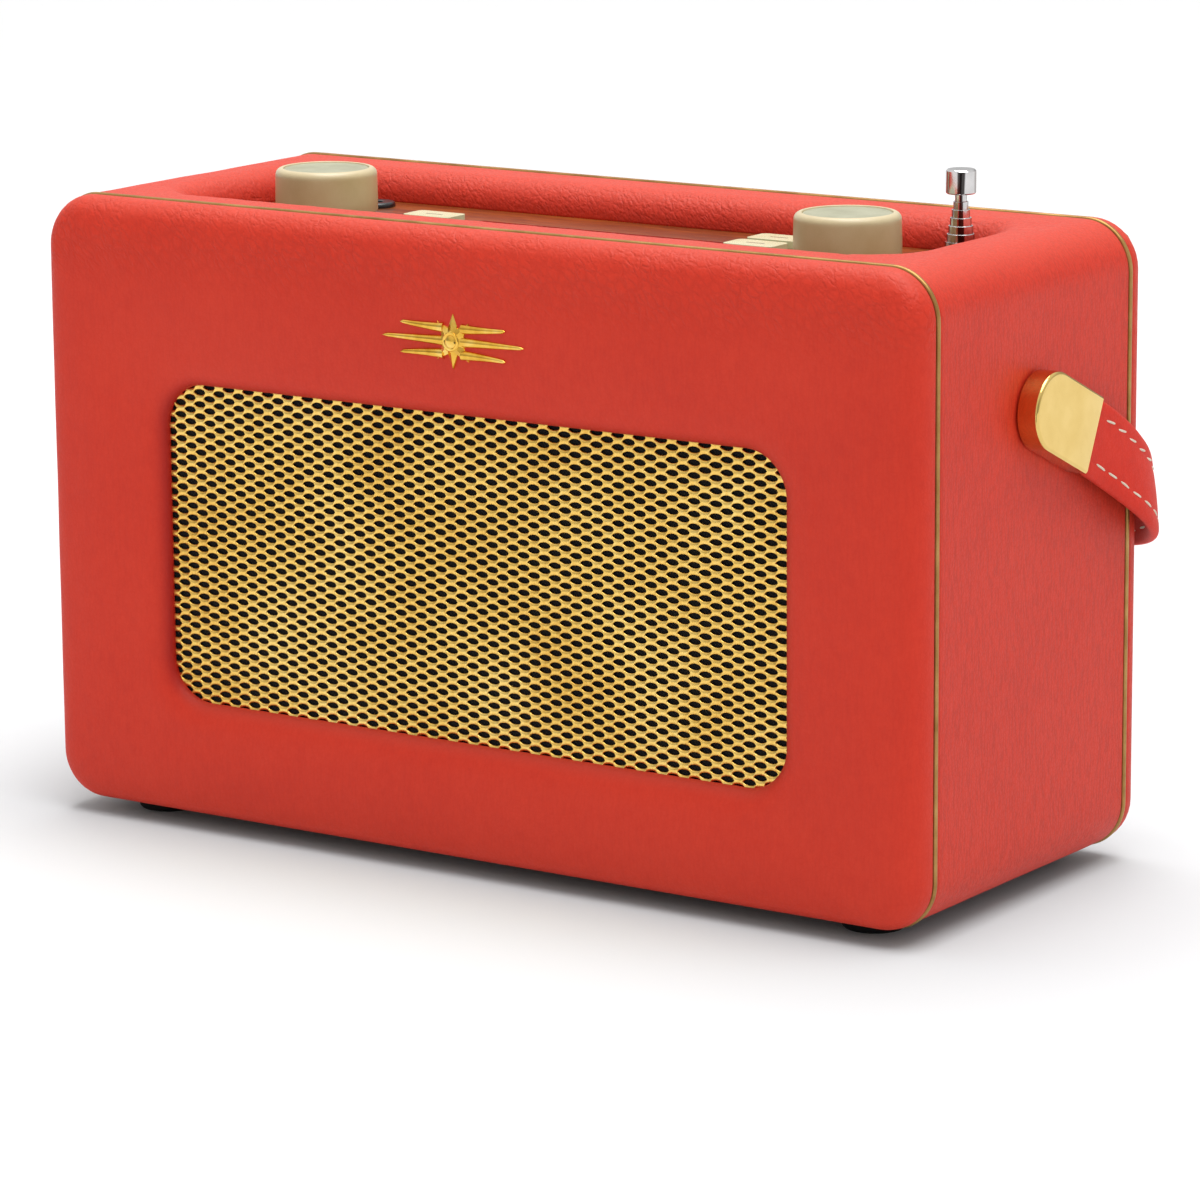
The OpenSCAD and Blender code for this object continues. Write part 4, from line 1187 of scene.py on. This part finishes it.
def build_rear():
    surface = Surface()
    rings, axis_y = curled_edge(REAR_FRONT + 0.05, -1, ((2.6, 1.3), (1.5, 0.8)), REAR_COUNTS)
    steps = 9
    for j in range(steps + 1):
        cosine, sine = quarter(j, steps, 0.9)
        across = 1 - cosine
        outline = case_outline(6.0 * across, CORNER_R - 7.0 * across, REAR_COUNTS)
        rings.append(at_y(outline, axis_y + (REAR_Y - axis_y) * sine))
    surface.add_grid(rings)
    holes = []
    for outline, depth in REAR_OPENINGS:
        loops = []
        for degrees in (0, 25, 50, 72, 90):
            angle = math.radians(degrees)
            loops.append(at_y(outline(OPENING_EDGE_R * (1 - math.sin(angle))),
                              REAR_Y - OPENING_EDGE_R * (1 - math.cos(angle))))
        loops.append(at_y(outline(0.0), REAR_Y - depth))
        surface.add_grid(loops)
        holes.append(loops[0][:, ::2])
    filled, triangles = fill_rear(rings[-1][:, ::2], holes)
    start = len(surface.vertices)
    surface.vertices.extend((x, REAR_Y, z) for x, z in filled)
    surface.faces.extend(tuple(start + i for i in face) for face in triangles)
    mesh = raw_mesh("rear_leather_skin", *weld(surface.vertices, surface.faces, 2e-3))
    face_away(mesh, (0, 0, 80))
    points = vertex_vectors(mesh, "co") * 1000.0
    x, y, z = points.T
    flat = smooth01((y - (REAR_Y - 0.02)) / 0.02)
    within = (smooth01((HALF_X - 7 - abs(x)) / 6.0) * smooth01((z - BASE_Z - 8) / 5.0)
              * smooth01((TOP_Z - 8 - z) / 6.0))
    points[:, 1] += flat * within * fractal(points, size=28.0, seed=7.7, octaves=2) * 0.12
    set_points(mesh, points)
    finish_mesh("rear_leather_skin", mesh, MATERIALS["leather_band"], "case", "leather_band",
                "rear_leather", [LEATHER_SHEET])


# ---------------------------------------------------------------- piping
def build_piping(piece):
    """A round bead along the edge of the case."""
    bead_r, inset, steps = 0.64, 0.30, 14
    low, high = mm_box(piece)
    y = (low[1] + high[1]) / 2
    path = case_outline(inset, CORNER_R - inset, (36, 62, 16))
    along = np.roll(path, -1, 0) - np.roll(path, 1, 0)
    along /= np.linalg.norm(along, axis=1)[:, None]
    outward = np.column_stack([along[:, 1], -along[:, 0]])
    rows = []
    for j in range(steps):
        angle = 2 * math.pi * j / steps
        rows.append(at_y(path + outward * bead_r * math.cos(angle),
                         y + bead_r * math.sin(angle)))
    add_solid(piece + "_bead", np.concatenate(rows), grid_faces(steps, len(path), wrap=True),
              MATERIALS["piping"], "case", "piping", piece)


# ---------------------------------------------------------------- grille
PITCH_X, PITCH_Z = 6.0, 3.0             # each pitch cell holds two holes, set diagonally
SHEET_DEPTH = 0.8
HOLE_X, HOLE_Z = 1.74, 0.70             # half sizes
# x, z: corners of the six-sided cell round a hole
CELL_CORNERS = np.array([(1.946, 0), (1.054, 1.5), (-1.054, 1.5),
                         (-1.946, 0), (-1.054, -1.5), (1.054, -1.5)])
# how far the hole is widened, and depth behind the face
HOLE_PROFILE = [(0.42, 0.03), (0.22, 0.11), (0.08, 0.23), (0.0, 0.40), (-0.02, SHEET_DEPTH)]


def grille_cell():
    """Rings of one cell: its edge, the hole from front to back, its edge at the back."""
    border = []
    for start, end in zip(CELL_CORNERS, np.roll(CELL_CORNERS, -1, 0)):
        border += [start + (end - start) * j / 3 for j in range(3)]
    border = np.array(border)
    angles = np.arctan2(border[:, 1] * 1.25, border[:, 0])

    def hole(half_x, half_z):
        """A flattened oval with pointed left and right ends."""
        sine = np.sin(angles)
        return np.column_stack([half_x * np.cos(angles),
                                half_z * np.sign(sine) * np.abs(sine) ** 1.38])
    rings = [at_y(border, 0.0)]
    for grow, y in HOLE_PROFILE:
        outline = hole(HOLE_X + grow * 0.36, HOLE_Z + grow)
        if grow > 0.3:
            outline = border * 0.45 + outline * 0.55
        rings.append(at_y(outline, y))
    return rings + [at_y(border, SHEET_DEPTH)]


def close_grille_rim(points, faces):
    """Joins each front edge used by only one face to the edge behind it."""
    uses = Counter()
    for face in faces:
        for i in range(len(face)):
            start, end = face[i], face[(i + 1) % len(face)]
            uses[(min(start, end), max(start, end))] += 1
    index_at = {(round(x, 2), round(y, 2), round(z, 2)): i for i, (x, y, z) in enumerate(points)}

    def behind(index):
        x, _, z = points[index]
        return index_at.get((round(x, 2), round(MESH_Y + SHEET_DEPTH, 2), round(z, 2)))
    for edge in [edge for edge, count in uses.items() if count == 1]:
        if all(abs(points[index][1] - MESH_Y) < 0.05 for index in edge):
            start, end = edge
            if behind(start) is not None and behind(end) is not None:
                faces.append([start, end, behind(end), behind(start)])


def build_grille():
    """One pressed sheet with real holes."""
    rings = grille_cell()
    cell = np.concatenate(rings)
    cell_faces = np.array(grid_faces(len(rings), len(rings[0])))
    places = []
    for i in range(-40, 41):
        for j in range(-40, 41):
            for shift_x, shift_z in ((0, 0), (PITCH_X / 2, PITCH_Z / 2)):
                x = i * PITCH_X + shift_x + 0.9
                z = GRILLE_MID + j * PITCH_Z + shift_z + 0.4
                if abs(x) < GRILLE_X + 2.2 and GRILLE_LOW - 2.0 < z < GRILLE_HIGH + 2.0:
                    places.append((x, z))
    points = np.concatenate([cell + np.array([x, MESH_Y, z]) for x, z in places])
    faces = np.concatenate([cell_faces + k * len(cell) for k in range(len(places))])
    points, faces = weld(points, faces.tolist(), 4e-3)
    close_grille_rim(points, faces)
    # a slight unevenness in the sheet, so that reflections wander
    level = points * np.array([1, 0, 1])
    points[:, 1] += fractal(level, size=22.0, seed=1.7, octaves=2) * 0.10
    add_solid("grille_sheet", points, faces, MATERIALS["grille"], "case", "grille",
              "grille_mesh")


# ---------------------------------------------------------------- ornament
ORNAMENT_FOOT = 0.3         # depth of the ornament's foot behind the face of the leather
# tip radius, notch radius, height off the leather of the eight-pointed star
STAR_PROFILE = [(6.6, 3.5, -ORNAMENT_FOOT), (6.6, 3.5, 0.75), (6.25, 3.3, 1.0), (2.6, 2.2, 1.75)]
# radius, height of the turned boss
BOSS_PROFILE = [(2.35, 1.7), (2.35, 1.85), (2.15, 2.05), (1.75, 2.05), (1.55, 1.9),
                (1.35, 2.05), (0.9, 2.33), (0.45, 2.42)]
BOSS_TOP = 2.45


def add_star(surface, middle_z):
    points, steps = 16, 28
    loops = []
    for tip, notch, height in STAR_PROFILE:
        loop = []
        for i in range(points):
            angle, radius = math.radians(22.5 * i), (notch if i % 2 else tip)
            loop.append((radius * math.sin(angle), FRONT_Y - height,
                         middle_z + radius * math.cos(angle)))
        loops.append(loop)
    surface.add_grid(loops)
    surface.cap(0, points, flip=True)
    angles = [2 * math.pi * i / steps for i in range(steps)]
    boss = surface.add_grid([[(radius * math.sin(angle), FRONT_Y - height,
                               middle_z + radius * math.cos(angle)) for angle in angles]
                             for radius, height in BOSS_PROFILE])
    tip = len(surface.vertices)
    surface.vertices.append((0, FRONT_Y - BOSS_TOP, middle_z))
    last = tip - steps
    surface.faces.extend((last + i, last + (i + 1) % steps, tip) for i in range(steps))
    surface.cap(boss, steps)
    surface.cap(boss - points, points)


def add_bar(surface, middle_z, side, row):
    """One bar, domed across and swept to a fine end. side is -1 or 1; row is -1, 0 or 1."""
    start_x, end_x = 2.6, 20.3 - 5.2 * abs(row)
    steps, across = 22, 12
    rows = []
    for i in range(steps + 1):
        t = i / steps
        tip = math.sqrt(max(0.0, 1 - max(0.0, (t - 0.93) / 0.07) ** 2) * 0.985 + 0.015)
        half_width = (1.35 * (1 - t) + 0.62 * t) * tip
        rise = ORNAMENT_FOOT + (1.75 - 0.55 * t)
        z = middle_z + 3.1 * row + row * 0.49 * t * t
        angles = [math.pi * j / across for j in range(across + 1)]
        rows.append([(side * (start_x + (end_x - start_x) * t),
                      FRONT_Y + ORNAMENT_FOOT - rise * math.sin(angle) ** 0.62,
                      z - half_width * math.cos(angle)) for angle in angles])
    start = surface.add_grid(rows, closed=False)
    count = across + 1
    for i in range(steps):
        here = start + i * count
        surface.faces.append((here, here + count, here + count + across, here + across))
    surface.cap(start, count)
    surface.cap(start + steps * count, count, flip=True)


def build_ornament():
    """A faceted star between three tapered bars on each side."""
    low, high = mm_box("front_ornament")
    middle_z = (low[2] + high[2]) / 2
    surface = Surface()
    add_star(surface, middle_z)
    for side in (-1, 1):
        for row in (-1, 0, 1):
            add_bar(surface, middle_z, side, row)
    mesh = add_solid("front_emblem", surface.vertices, surface.faces, MATERIALS["ornament"],
                     "case", "ornament", "front_ornament")
    mesh.set_sharp_from_angle(angle=math.radians(24))


# ---------------------------------------------------------------- knobs
def build_knob(piece):
    low, high = mm_box(piece)
    x, y = (low[0] + high[0]) / 2, (low[1] + high[1]) / 2
    radius, base = (high[0] - low[0]) / 2, low[2]
    top = mm_box("volume_knob")[1][2]
    profile = [
        (0, PANEL_Z + 10.0), (3.0, PANEL_Z + 10.0), (3.0, PANEL_Z + 5.0), (10.2, PANEL_Z + 5.0),
        (10.2, base + 0.2), (10.4, base), (radius - 0.35, base), (radius - 0.1, base + 0.1),
        (radius, base + 0.4), (radius, base + 3.0), (radius - 0.04, base + 5.5),
        (radius - 0.10, top - 2.3)]
    for i in range(10):
        angle = math.radians(8 + 82 * i / 9)
        profile.append((radius - 1.75 + 1.65 * math.cos(angle),
                        top - 1.85 + 1.85 * math.sin(angle)))
    profile += [
        (radius - 1.98, top - 0.03), (radius - 2.08, top - 0.14), (radius - 2.1, top - 0.4),
        (radius - 2.1, top - 0.85), (radius - 2.6, top - 0.95), (0, top - 0.95)]
    add_solid(piece + "_body", *turned(profile, x, y, 120), MATERIALS["knob"], piece, "knob",
              piece)
    # the metal disc let into the top
    top = mm_box(piece + "_disc")[1][2]
    edge = radius - 2.18
    profile = [
        (0, top - 0.45), (edge - 0.1, top - 0.45), (edge, top - 0.35), (edge, top - 0.12),
        (edge - 0.12, top), (edge - 0.7, top), (edge - 0.85, top - 0.07),
        (edge - 1.6, top - 0.09), (3.0, top - 0.13), (0, top - 0.14)]
    material = knob_disc(piece.replace("knob", "disc"), x)
    add_solid(piece + "_face", *turned(profile, x, y, 96), material, piece, "knob_disc",
              piece + "_disc")


# ---------------------------------------------------------------- carrying strap
PIVOT_Z, TILT = 118.0, math.radians(24.6)
STRAP_X, STRAP_T, STRAP_W = 130.9, 3.2, 18.5    # outer face, thickness and width
STRAP_REACH = 71.3                              # from the pivots to the middle of the strap
BEND_X, BEND_Y = 17.0, 25.0                     # radii of the bends
STITCH_ROW = 5.5                                # from the middle line to each row of stitches


def from_pivot(points):
    """Turns points about the pivots: y runs along the strap's arms, z across its width."""
    x, y, z = np.asarray(points, float).T
    cosine, sine = math.cos(TILT), math.sin(TILT)
    return np.column_stack([x, y * cosine + z * sine, PIVOT_Z - y * sine + z * cosine])


def strap_path(step):
    """Middle of the strap: x, y, tangent x, y, outward x, y, sag, turn."""
    arm_x = STRAP_X - STRAP_T / 2
    bend_x, bend_y = arm_x - BEND_X, STRAP_REACH - BEND_Y
    arm_start, bulge = 8.0, 1.1
    half = []
    count = max(4, int(round((bend_y - arm_start) / step)))
    for i in range(count):
        y = arm_start + (bend_y - arm_start) * i / count
        half.append((arm_x + bulge * smooth01((y - 17.0) / (bend_y - 17.0)), y))
    count = max(12, int(round(40.0 / step)))
    for i in range(count):
        angle = math.pi / 2 * i / count
        half.append((bend_x + (BEND_X + bulge) * math.cos(angle) ** 0.96,
                     bend_y + BEND_Y * math.sin(angle)))
    count = max(8, int(round(bend_x / step)))
    for i in range(count + 1):
        half.append((bend_x - bend_x * i / count, STRAP_REACH))
    half = np.array(half)
    path = np.concatenate([half, (half * np.array([-1.0, 1.0]))[::-1][1:]])
    tangent = np.gradient(path, axis=0)
    tangent /= np.linalg.norm(tangent, axis=1)[:, None]
    outward = np.column_stack([tangent[:, 1], -tangent[:, 0]])
    # behind the cabinet its own weight lets the strap drop a little and turn upright
    sag = -5.5 * smooth01((path[:, 1] - 20.0) / 58.0)
    turn = math.radians(21.0) * smooth01((path[:, 1] - 26.0) / 44.0)
    return np.column_stack([path, tangent, outward, sag, turn])


def lengths_along(path):
    return np.concatenate([[0], np.cumsum(np.linalg.norm(np.diff(path[:, :2], axis=0), axis=1))])


def strap_half(across):
    """Half the thickness at a distance from the middle line: domed, grooved at the stitches."""
    share = np.abs(across) / (STRAP_W / 2)
    body = 1.42 * np.sqrt(np.maximum(0.0, 1 - share ** 14))
    dome = 0.18 * (1 - share ** 2)
    groove = 0.24 * np.exp(-((np.abs(across) - STITCH_ROW) / 0.6) ** 2)
    pad = 0.10 * np.exp(-(across / 3.4) ** 4)
    return body + (dome + pad) * np.minimum(1, body) - groove


def build_strap():
    path = strap_path(1.7)
    edge = STRAP_W / 2 * np.array([1.0, 0.997, 0.985, 0.965, 0.93, 0.88])
    groove = np.linspace(7.4, 4.2, 9)
    across = np.concatenate([edge, groove, np.linspace(3.4, -3.4, 7), -groove[::-1],
                             -edge[::-1]])
    outer = np.column_stack([across, strap_half(across)])
    section = np.concatenate([outer, outer[::-1][1:-1] * np.array([1.0, -0.98])])
    lengths = lengths_along(path)
    rows = []
    for length, (x, y, _, _, out_x, out_y, sag, turn) in zip(lengths, path):
        # the strap is a little uneven along its length and narrows into the caps
        to_end = min(length, lengths[-1] - length)
        width = section[:, 0] * (0.86 + 0.14 * smooth01((to_end - 8.0) / 7.0))
        wobble = 0.10 * noise.noise(Vector((length / 17.0, 0.3, 5.1)))
        fullness = 1 + 0.05 * noise.noise(Vector((length / 9.0, 2.3, 1.1)))
        lift = 0.12 * noise.noise(Vector((length / 30.0, 7.3, 2.1)))
        height = section[:, 1] * fullness + wobble
        out = height * math.cos(turn) - width * math.sin(turn)
        rows.append(np.column_stack([
            x + out_x * out, y + out_y * out,
            width * math.cos(turn) + height * math.sin(turn) + sag + lift]))
    surface = Surface()
    surface.add_grid(rows)
    count = len(section)
    surface.cap(0, count)
    surface.cap((len(rows) - 1) * count, count, flip=True)
    add_solid("strap_leather", from_pivot(surface.vertices), surface.faces,
              MATERIALS["leather_strap"], "handle", "leather_strap", "carry_strap")


def add_stitch(surface, station, index, row, face):
    """A stitch at a station of the strap path. face is 1 on the outer face, -1 on the inner."""
    stitch_length, thread_r, steps = 4.7, 0.25, 8
    x, y, along_x, along_y, out_x, out_y, sag, turn = station
    along = np.array([along_x, along_y, 0.0])
    along /= np.linalg.norm(along)
    out = np.array([out_x, out_y, 0.0])
    out /= np.linalg.norm(out)
    upright = np.array([0, 0, 1.0])
    up = upright * math.cos(turn) - out * math.sin(turn)
    out = out * math.cos(turn) + upright * math.sin(turn)
    slant = 0.05 * math.sin(index * 2.399)
    lead = along + up * (0.10 * (1 if row > 0 else -1) * face + slant)
    lead /= np.linalg.norm(lead)
    cross = np.cross(out, lead)
    lift = float(strap_half(np.array([STITCH_ROW]))[0]) + 0.05
    middle = (np.array([x, y, sag]) + up * (row + 0.04 * math.sin(index * 1.7))
              + out * face * lift)
    rings = []
    for i in range(steps + 1):
        t = -1 + 2 * i / steps
        radius = thread_r * math.sqrt(max(0.02, 1 - t ** 4))
        dip = -0.22 * t * t
        angles = [2 * math.pi * j / steps for j in range(steps)]
        rings.append([middle + lead * (t * stitch_length / 2)
                      + cross * (radius * 1.15 * math.cos(angle))
                      + out * face * (radius * math.sin(angle) + dip) for angle in angles])
    start = surface.add_grid(rings)
    surface.cap(start, steps, flip=True)
    surface.cap(start + steps * steps, steps)


def build_stitching():
    """Two rows of saddle stitches on each face of the strap."""
    path = strap_path(0.2)
    lengths = lengths_along(path)
    total = lengths[-1]
    pitch, end_gap = 5.8, 14.0
    count = int((total - 2 * end_gap) / pitch)
    first = (total - (count - 1) * pitch) / 2
    surface = Surface()
    for face in (1, -1):
        for row in (-STITCH_ROW, STITCH_ROW):
            for i in range(count):
                station = [np.interp(first + i * pitch, lengths, column) for column in path.T]
                add_stitch(surface, station, i, row, face)
    add_solid("strap_stitching", from_pivot(surface.vertices), surface.faces,
              MATERIALS["thread"], "handle", "leather_strap")


# ---------------------------------------------------------------- caps over the strap ends
CAP_LENGTH, CAP_R = 19.6, 9.4


def cap_ring(radius, x):
    """Round at the pivot end, straight at the sides, open toward the strap."""
    points = [(CAP_LENGTH, radius), (CAP_LENGTH * 0.5, radius)]
    for i in range(41):
        angle = math.radians(90 + 180.0 * i / 40)
        points.append((radius * math.cos(angle), radius * math.sin(angle)))
    points += [(CAP_LENGTH * 0.5, -radius), (CAP_LENGTH, -radius)]
    return [(x, y, z) for y, z in points]


def build_cap(name, side):
    piece = "strap_cap_" + name
    low, high = mm_box(piece)
    inner, outer = (low[0], high[0]) if side > 0 else (-high[0], -low[0])
    # radius, x: inner edge, side wall, rolled outer edge, then the flat plate
    profile = [(CAP_R - 0.9, inner), (CAP_R - 0.25, inner + 0.05), (CAP_R, inner + 0.35),
               (CAP_R, inner + 2.6), (CAP_R, outer - 0.95)]
    for degrees in (15, 30, 45, 60, 75, 90):
        angle = math.radians(degrees)
        profile.append((CAP_R - 0.8 * (1 - math.cos(angle)),
                        outer - 0.8 + 0.8 * math.sin(angle)))
    profile += [(CAP_R - inset, outer) for inset in (1.0, 1.6, 3.5, 6.2)]
    rows = [cap_ring(radius, x * side) for radius, x in profile]
    surface = Surface()
    surface.add_grid(rows, closed=False)
    count = len(rows[0])
    # the outer and the inner plate are closed with strips across
    for row in (len(rows) - 1, 0):
        first, last = row * count, row * count + count - 1
        middle = count // 2
        for i in range(middle - 1):
            surface.faces.append((first + i, first + i + 1, last - 1 - i, last - i))
        surface.faces.append((first + middle - 1, first + middle, first + middle + 1))
    mesh = raw_mesh("cap_" + name + "_outer", from_pivot(surface.vertices), surface.faces)
    face_away(mesh, from_pivot([((inner + outer) / 2 * side, 6.0, 0.0)])[0])
    finish_mesh("cap_" + name + "_shell", mesh, MATERIALS["cap_gold"], "handle", "cap_gold",
                piece, [sheet(thickness=0.85), ("WEIGHTED_NORMAL", dict(keep_sharp=True))])


# ---------------------------------------------------------------- floor, light, camera
def floor_material():
    mat = Material("floor_pale")
    x, y = mat.xyz[:2]
    distance = mat.vector("LENGTH", mat.stretch((1.0, 1.0, 0.0)))
    near = mat.tones(mat.noise(size=900.0), [(234, 234, 235), (237, 237, 238)])
    color = mat.mix(distance.fade(zero=260.0, one=900.0), near, (252, 252, 252))
    # polished metal sees a dark wedge of floor, widening toward the camera
    toward = x * 0.5636 + y * -0.8261
    sideways = x * 0.8261 + y * 0.5636
    wedge = (toward.fade(zero=260.0, one=420.0)
             * abs(sideways + toward * 0.06).fade(zero=toward * 0.20, one=toward * 0.10))
    mirrored = mat.node("LightPath")("Is Glossy Ray")
    color = mat.mix(wedge * mirrored * 0.93, color, (30, 28, 28))
    roughness = mat.noise(size=2.0, detail=3.0) * 0.1 + 0.75
    return mat.finish(color=color, rough=roughness, spec=0.2)


def build_floor():
    material = floor_material()
    cells, half = 8, 9.0    # metres
    steps = [-half + 2 * half * i / cells for i in range(cells + 1)]
    count = cells + 1
    faces = [(j * count + i, j * count + i + 1, (j + 1) * count + i + 1, (j + 1) * count + i)
             for j in range(cells) for i in range(cells)]
    mesh = bpy.data.meshes.new("floor")
    mesh.from_pydata([(x, y, 0.0) for y in steps for x in steps], [], faces)
    floor = bpy.data.objects.new("floor", mesh)
    mesh.materials.append(material)
    bpy.context.scene.collection.objects.link(floor)


def build_world():
    world = bpy.data.worlds.new("studio")
    bpy.context.scene.world = world
    world.use_nodes = True
    nodes = Nodes(world.node_tree)
    x, y, z = nodes.axes(nodes.node("TexCoord")("Generated"))
    sky = z.fade(zero=-0.1, one=0.9, low=0.86, high=1.0)
    # what polished metal sees: darker, uneven walls under a bright ceiling
    azimuth = nodes.math("ARCTAN2", y, x)
    walls = nodes.math("SINE", azimuth * 3.0, 0.0) * 0.30 + 0.55
    ceiling = z.fade(zero=0.25, one=0.75)
    studio = walls * (1.0 - ceiling) + ceiling
    ray = nodes.node("LightPath")
    mirrored = ray("Is Glossy Ray") * 0.75
    level = sky * (1.0 - mirrored) + studio * mirrored
    # dimmer as a light on matt surfaces, and white behind the object
    level = level * (ray("Is Diffuse Ray") * -0.46 + 1.0)
    level = nodes.math("MAXIMUM", level, ray("Is Camera Ray") * 1.07)
    background = world.node_tree.nodes["Background"]
    nodes.put(background.inputs["Color"], level)
    background.inputs["Strength"].default_value = 0.94


def add_light(name, kind, place, target, energy, **settings):
    data = bpy.data.lights.new(name, kind)
    data.energy = energy
    for key, value in settings.items():
        setattr(data, key, value)
    light = bpy.data.objects.new(name, data)
    bpy.context.scene.collection.objects.link(light)
    light.location = place
    light.rotation_mode = "QUATERNION"
    light.rotation_quaternion = (Vector(target) - Vector(place)).to_track_quat("-Z", "Y")


def build_camera():
    yaw, pitch, roll = 0.5986776, 0.2132060, -0.0075140     # radians
    target, distance = Vector((0.004721, 0.0, 0.059316)), 1.29736
    level = Vector((-math.sin(yaw), math.cos(yaw), 0))
    right = Vector((math.cos(yaw), math.sin(yaw), 0))
    upright = Vector((0, 0, 1))
    forward = level * math.cos(pitch) - upright * math.sin(pitch)
    up = upright * math.cos(pitch) + level * math.sin(pitch)
    rolled_right = right * math.cos(roll) + up * math.sin(roll)
    rolled_up = up * math.cos(roll) - right * math.sin(roll)
    data = bpy.data.cameras.new("camera")
    data.sensor_width = 36.0
    data.lens = 159.299
    data.clip_start, data.clip_end = 0.05, 60.0
    camera = bpy.data.objects.new("camera", data)
    bpy.context.scene.collection.objects.link(camera)
    matrix = Matrix((rolled_right, rolled_up, -forward)).transposed().to_4x4()
    matrix.translation = target - forward * distance
    camera.matrix_world = matrix
    bpy.context.scene.camera = camera


# ---------------------------------------------------------------- build
for slot, pieces in CAD_SLOTS.items():
    for piece in pieces:
        dress_cad_piece(piece, slot)
build_front()
build_band()
build_rear()
build_piping("front_piping")
build_piping("rear_piping")
build_grille()
build_ornament()
build_knob("volume_knob")
build_knob("tuning_knob")
build_strap()
build_stitching()
build_cap("right", side=1)
build_cap("left", side=-1)
build_floor()
build_world()
add_light("soft_sun", "SUN", place=(0.46, -0.14, 1.7), target=(0, 0, 0), energy=1.72,
          angle=math.radians(46.0))
add_light("top_box", "AREA", place=(-0.10, 0.16, 1.05), target=(0, 0, 0.1), energy=4.6,
          shape="SQUARE", size=0.6)
build_camera()
bpy.context.scene.view_settings.view_transform = "Standard"
bpy.context.scene.view_settings.look = "None"
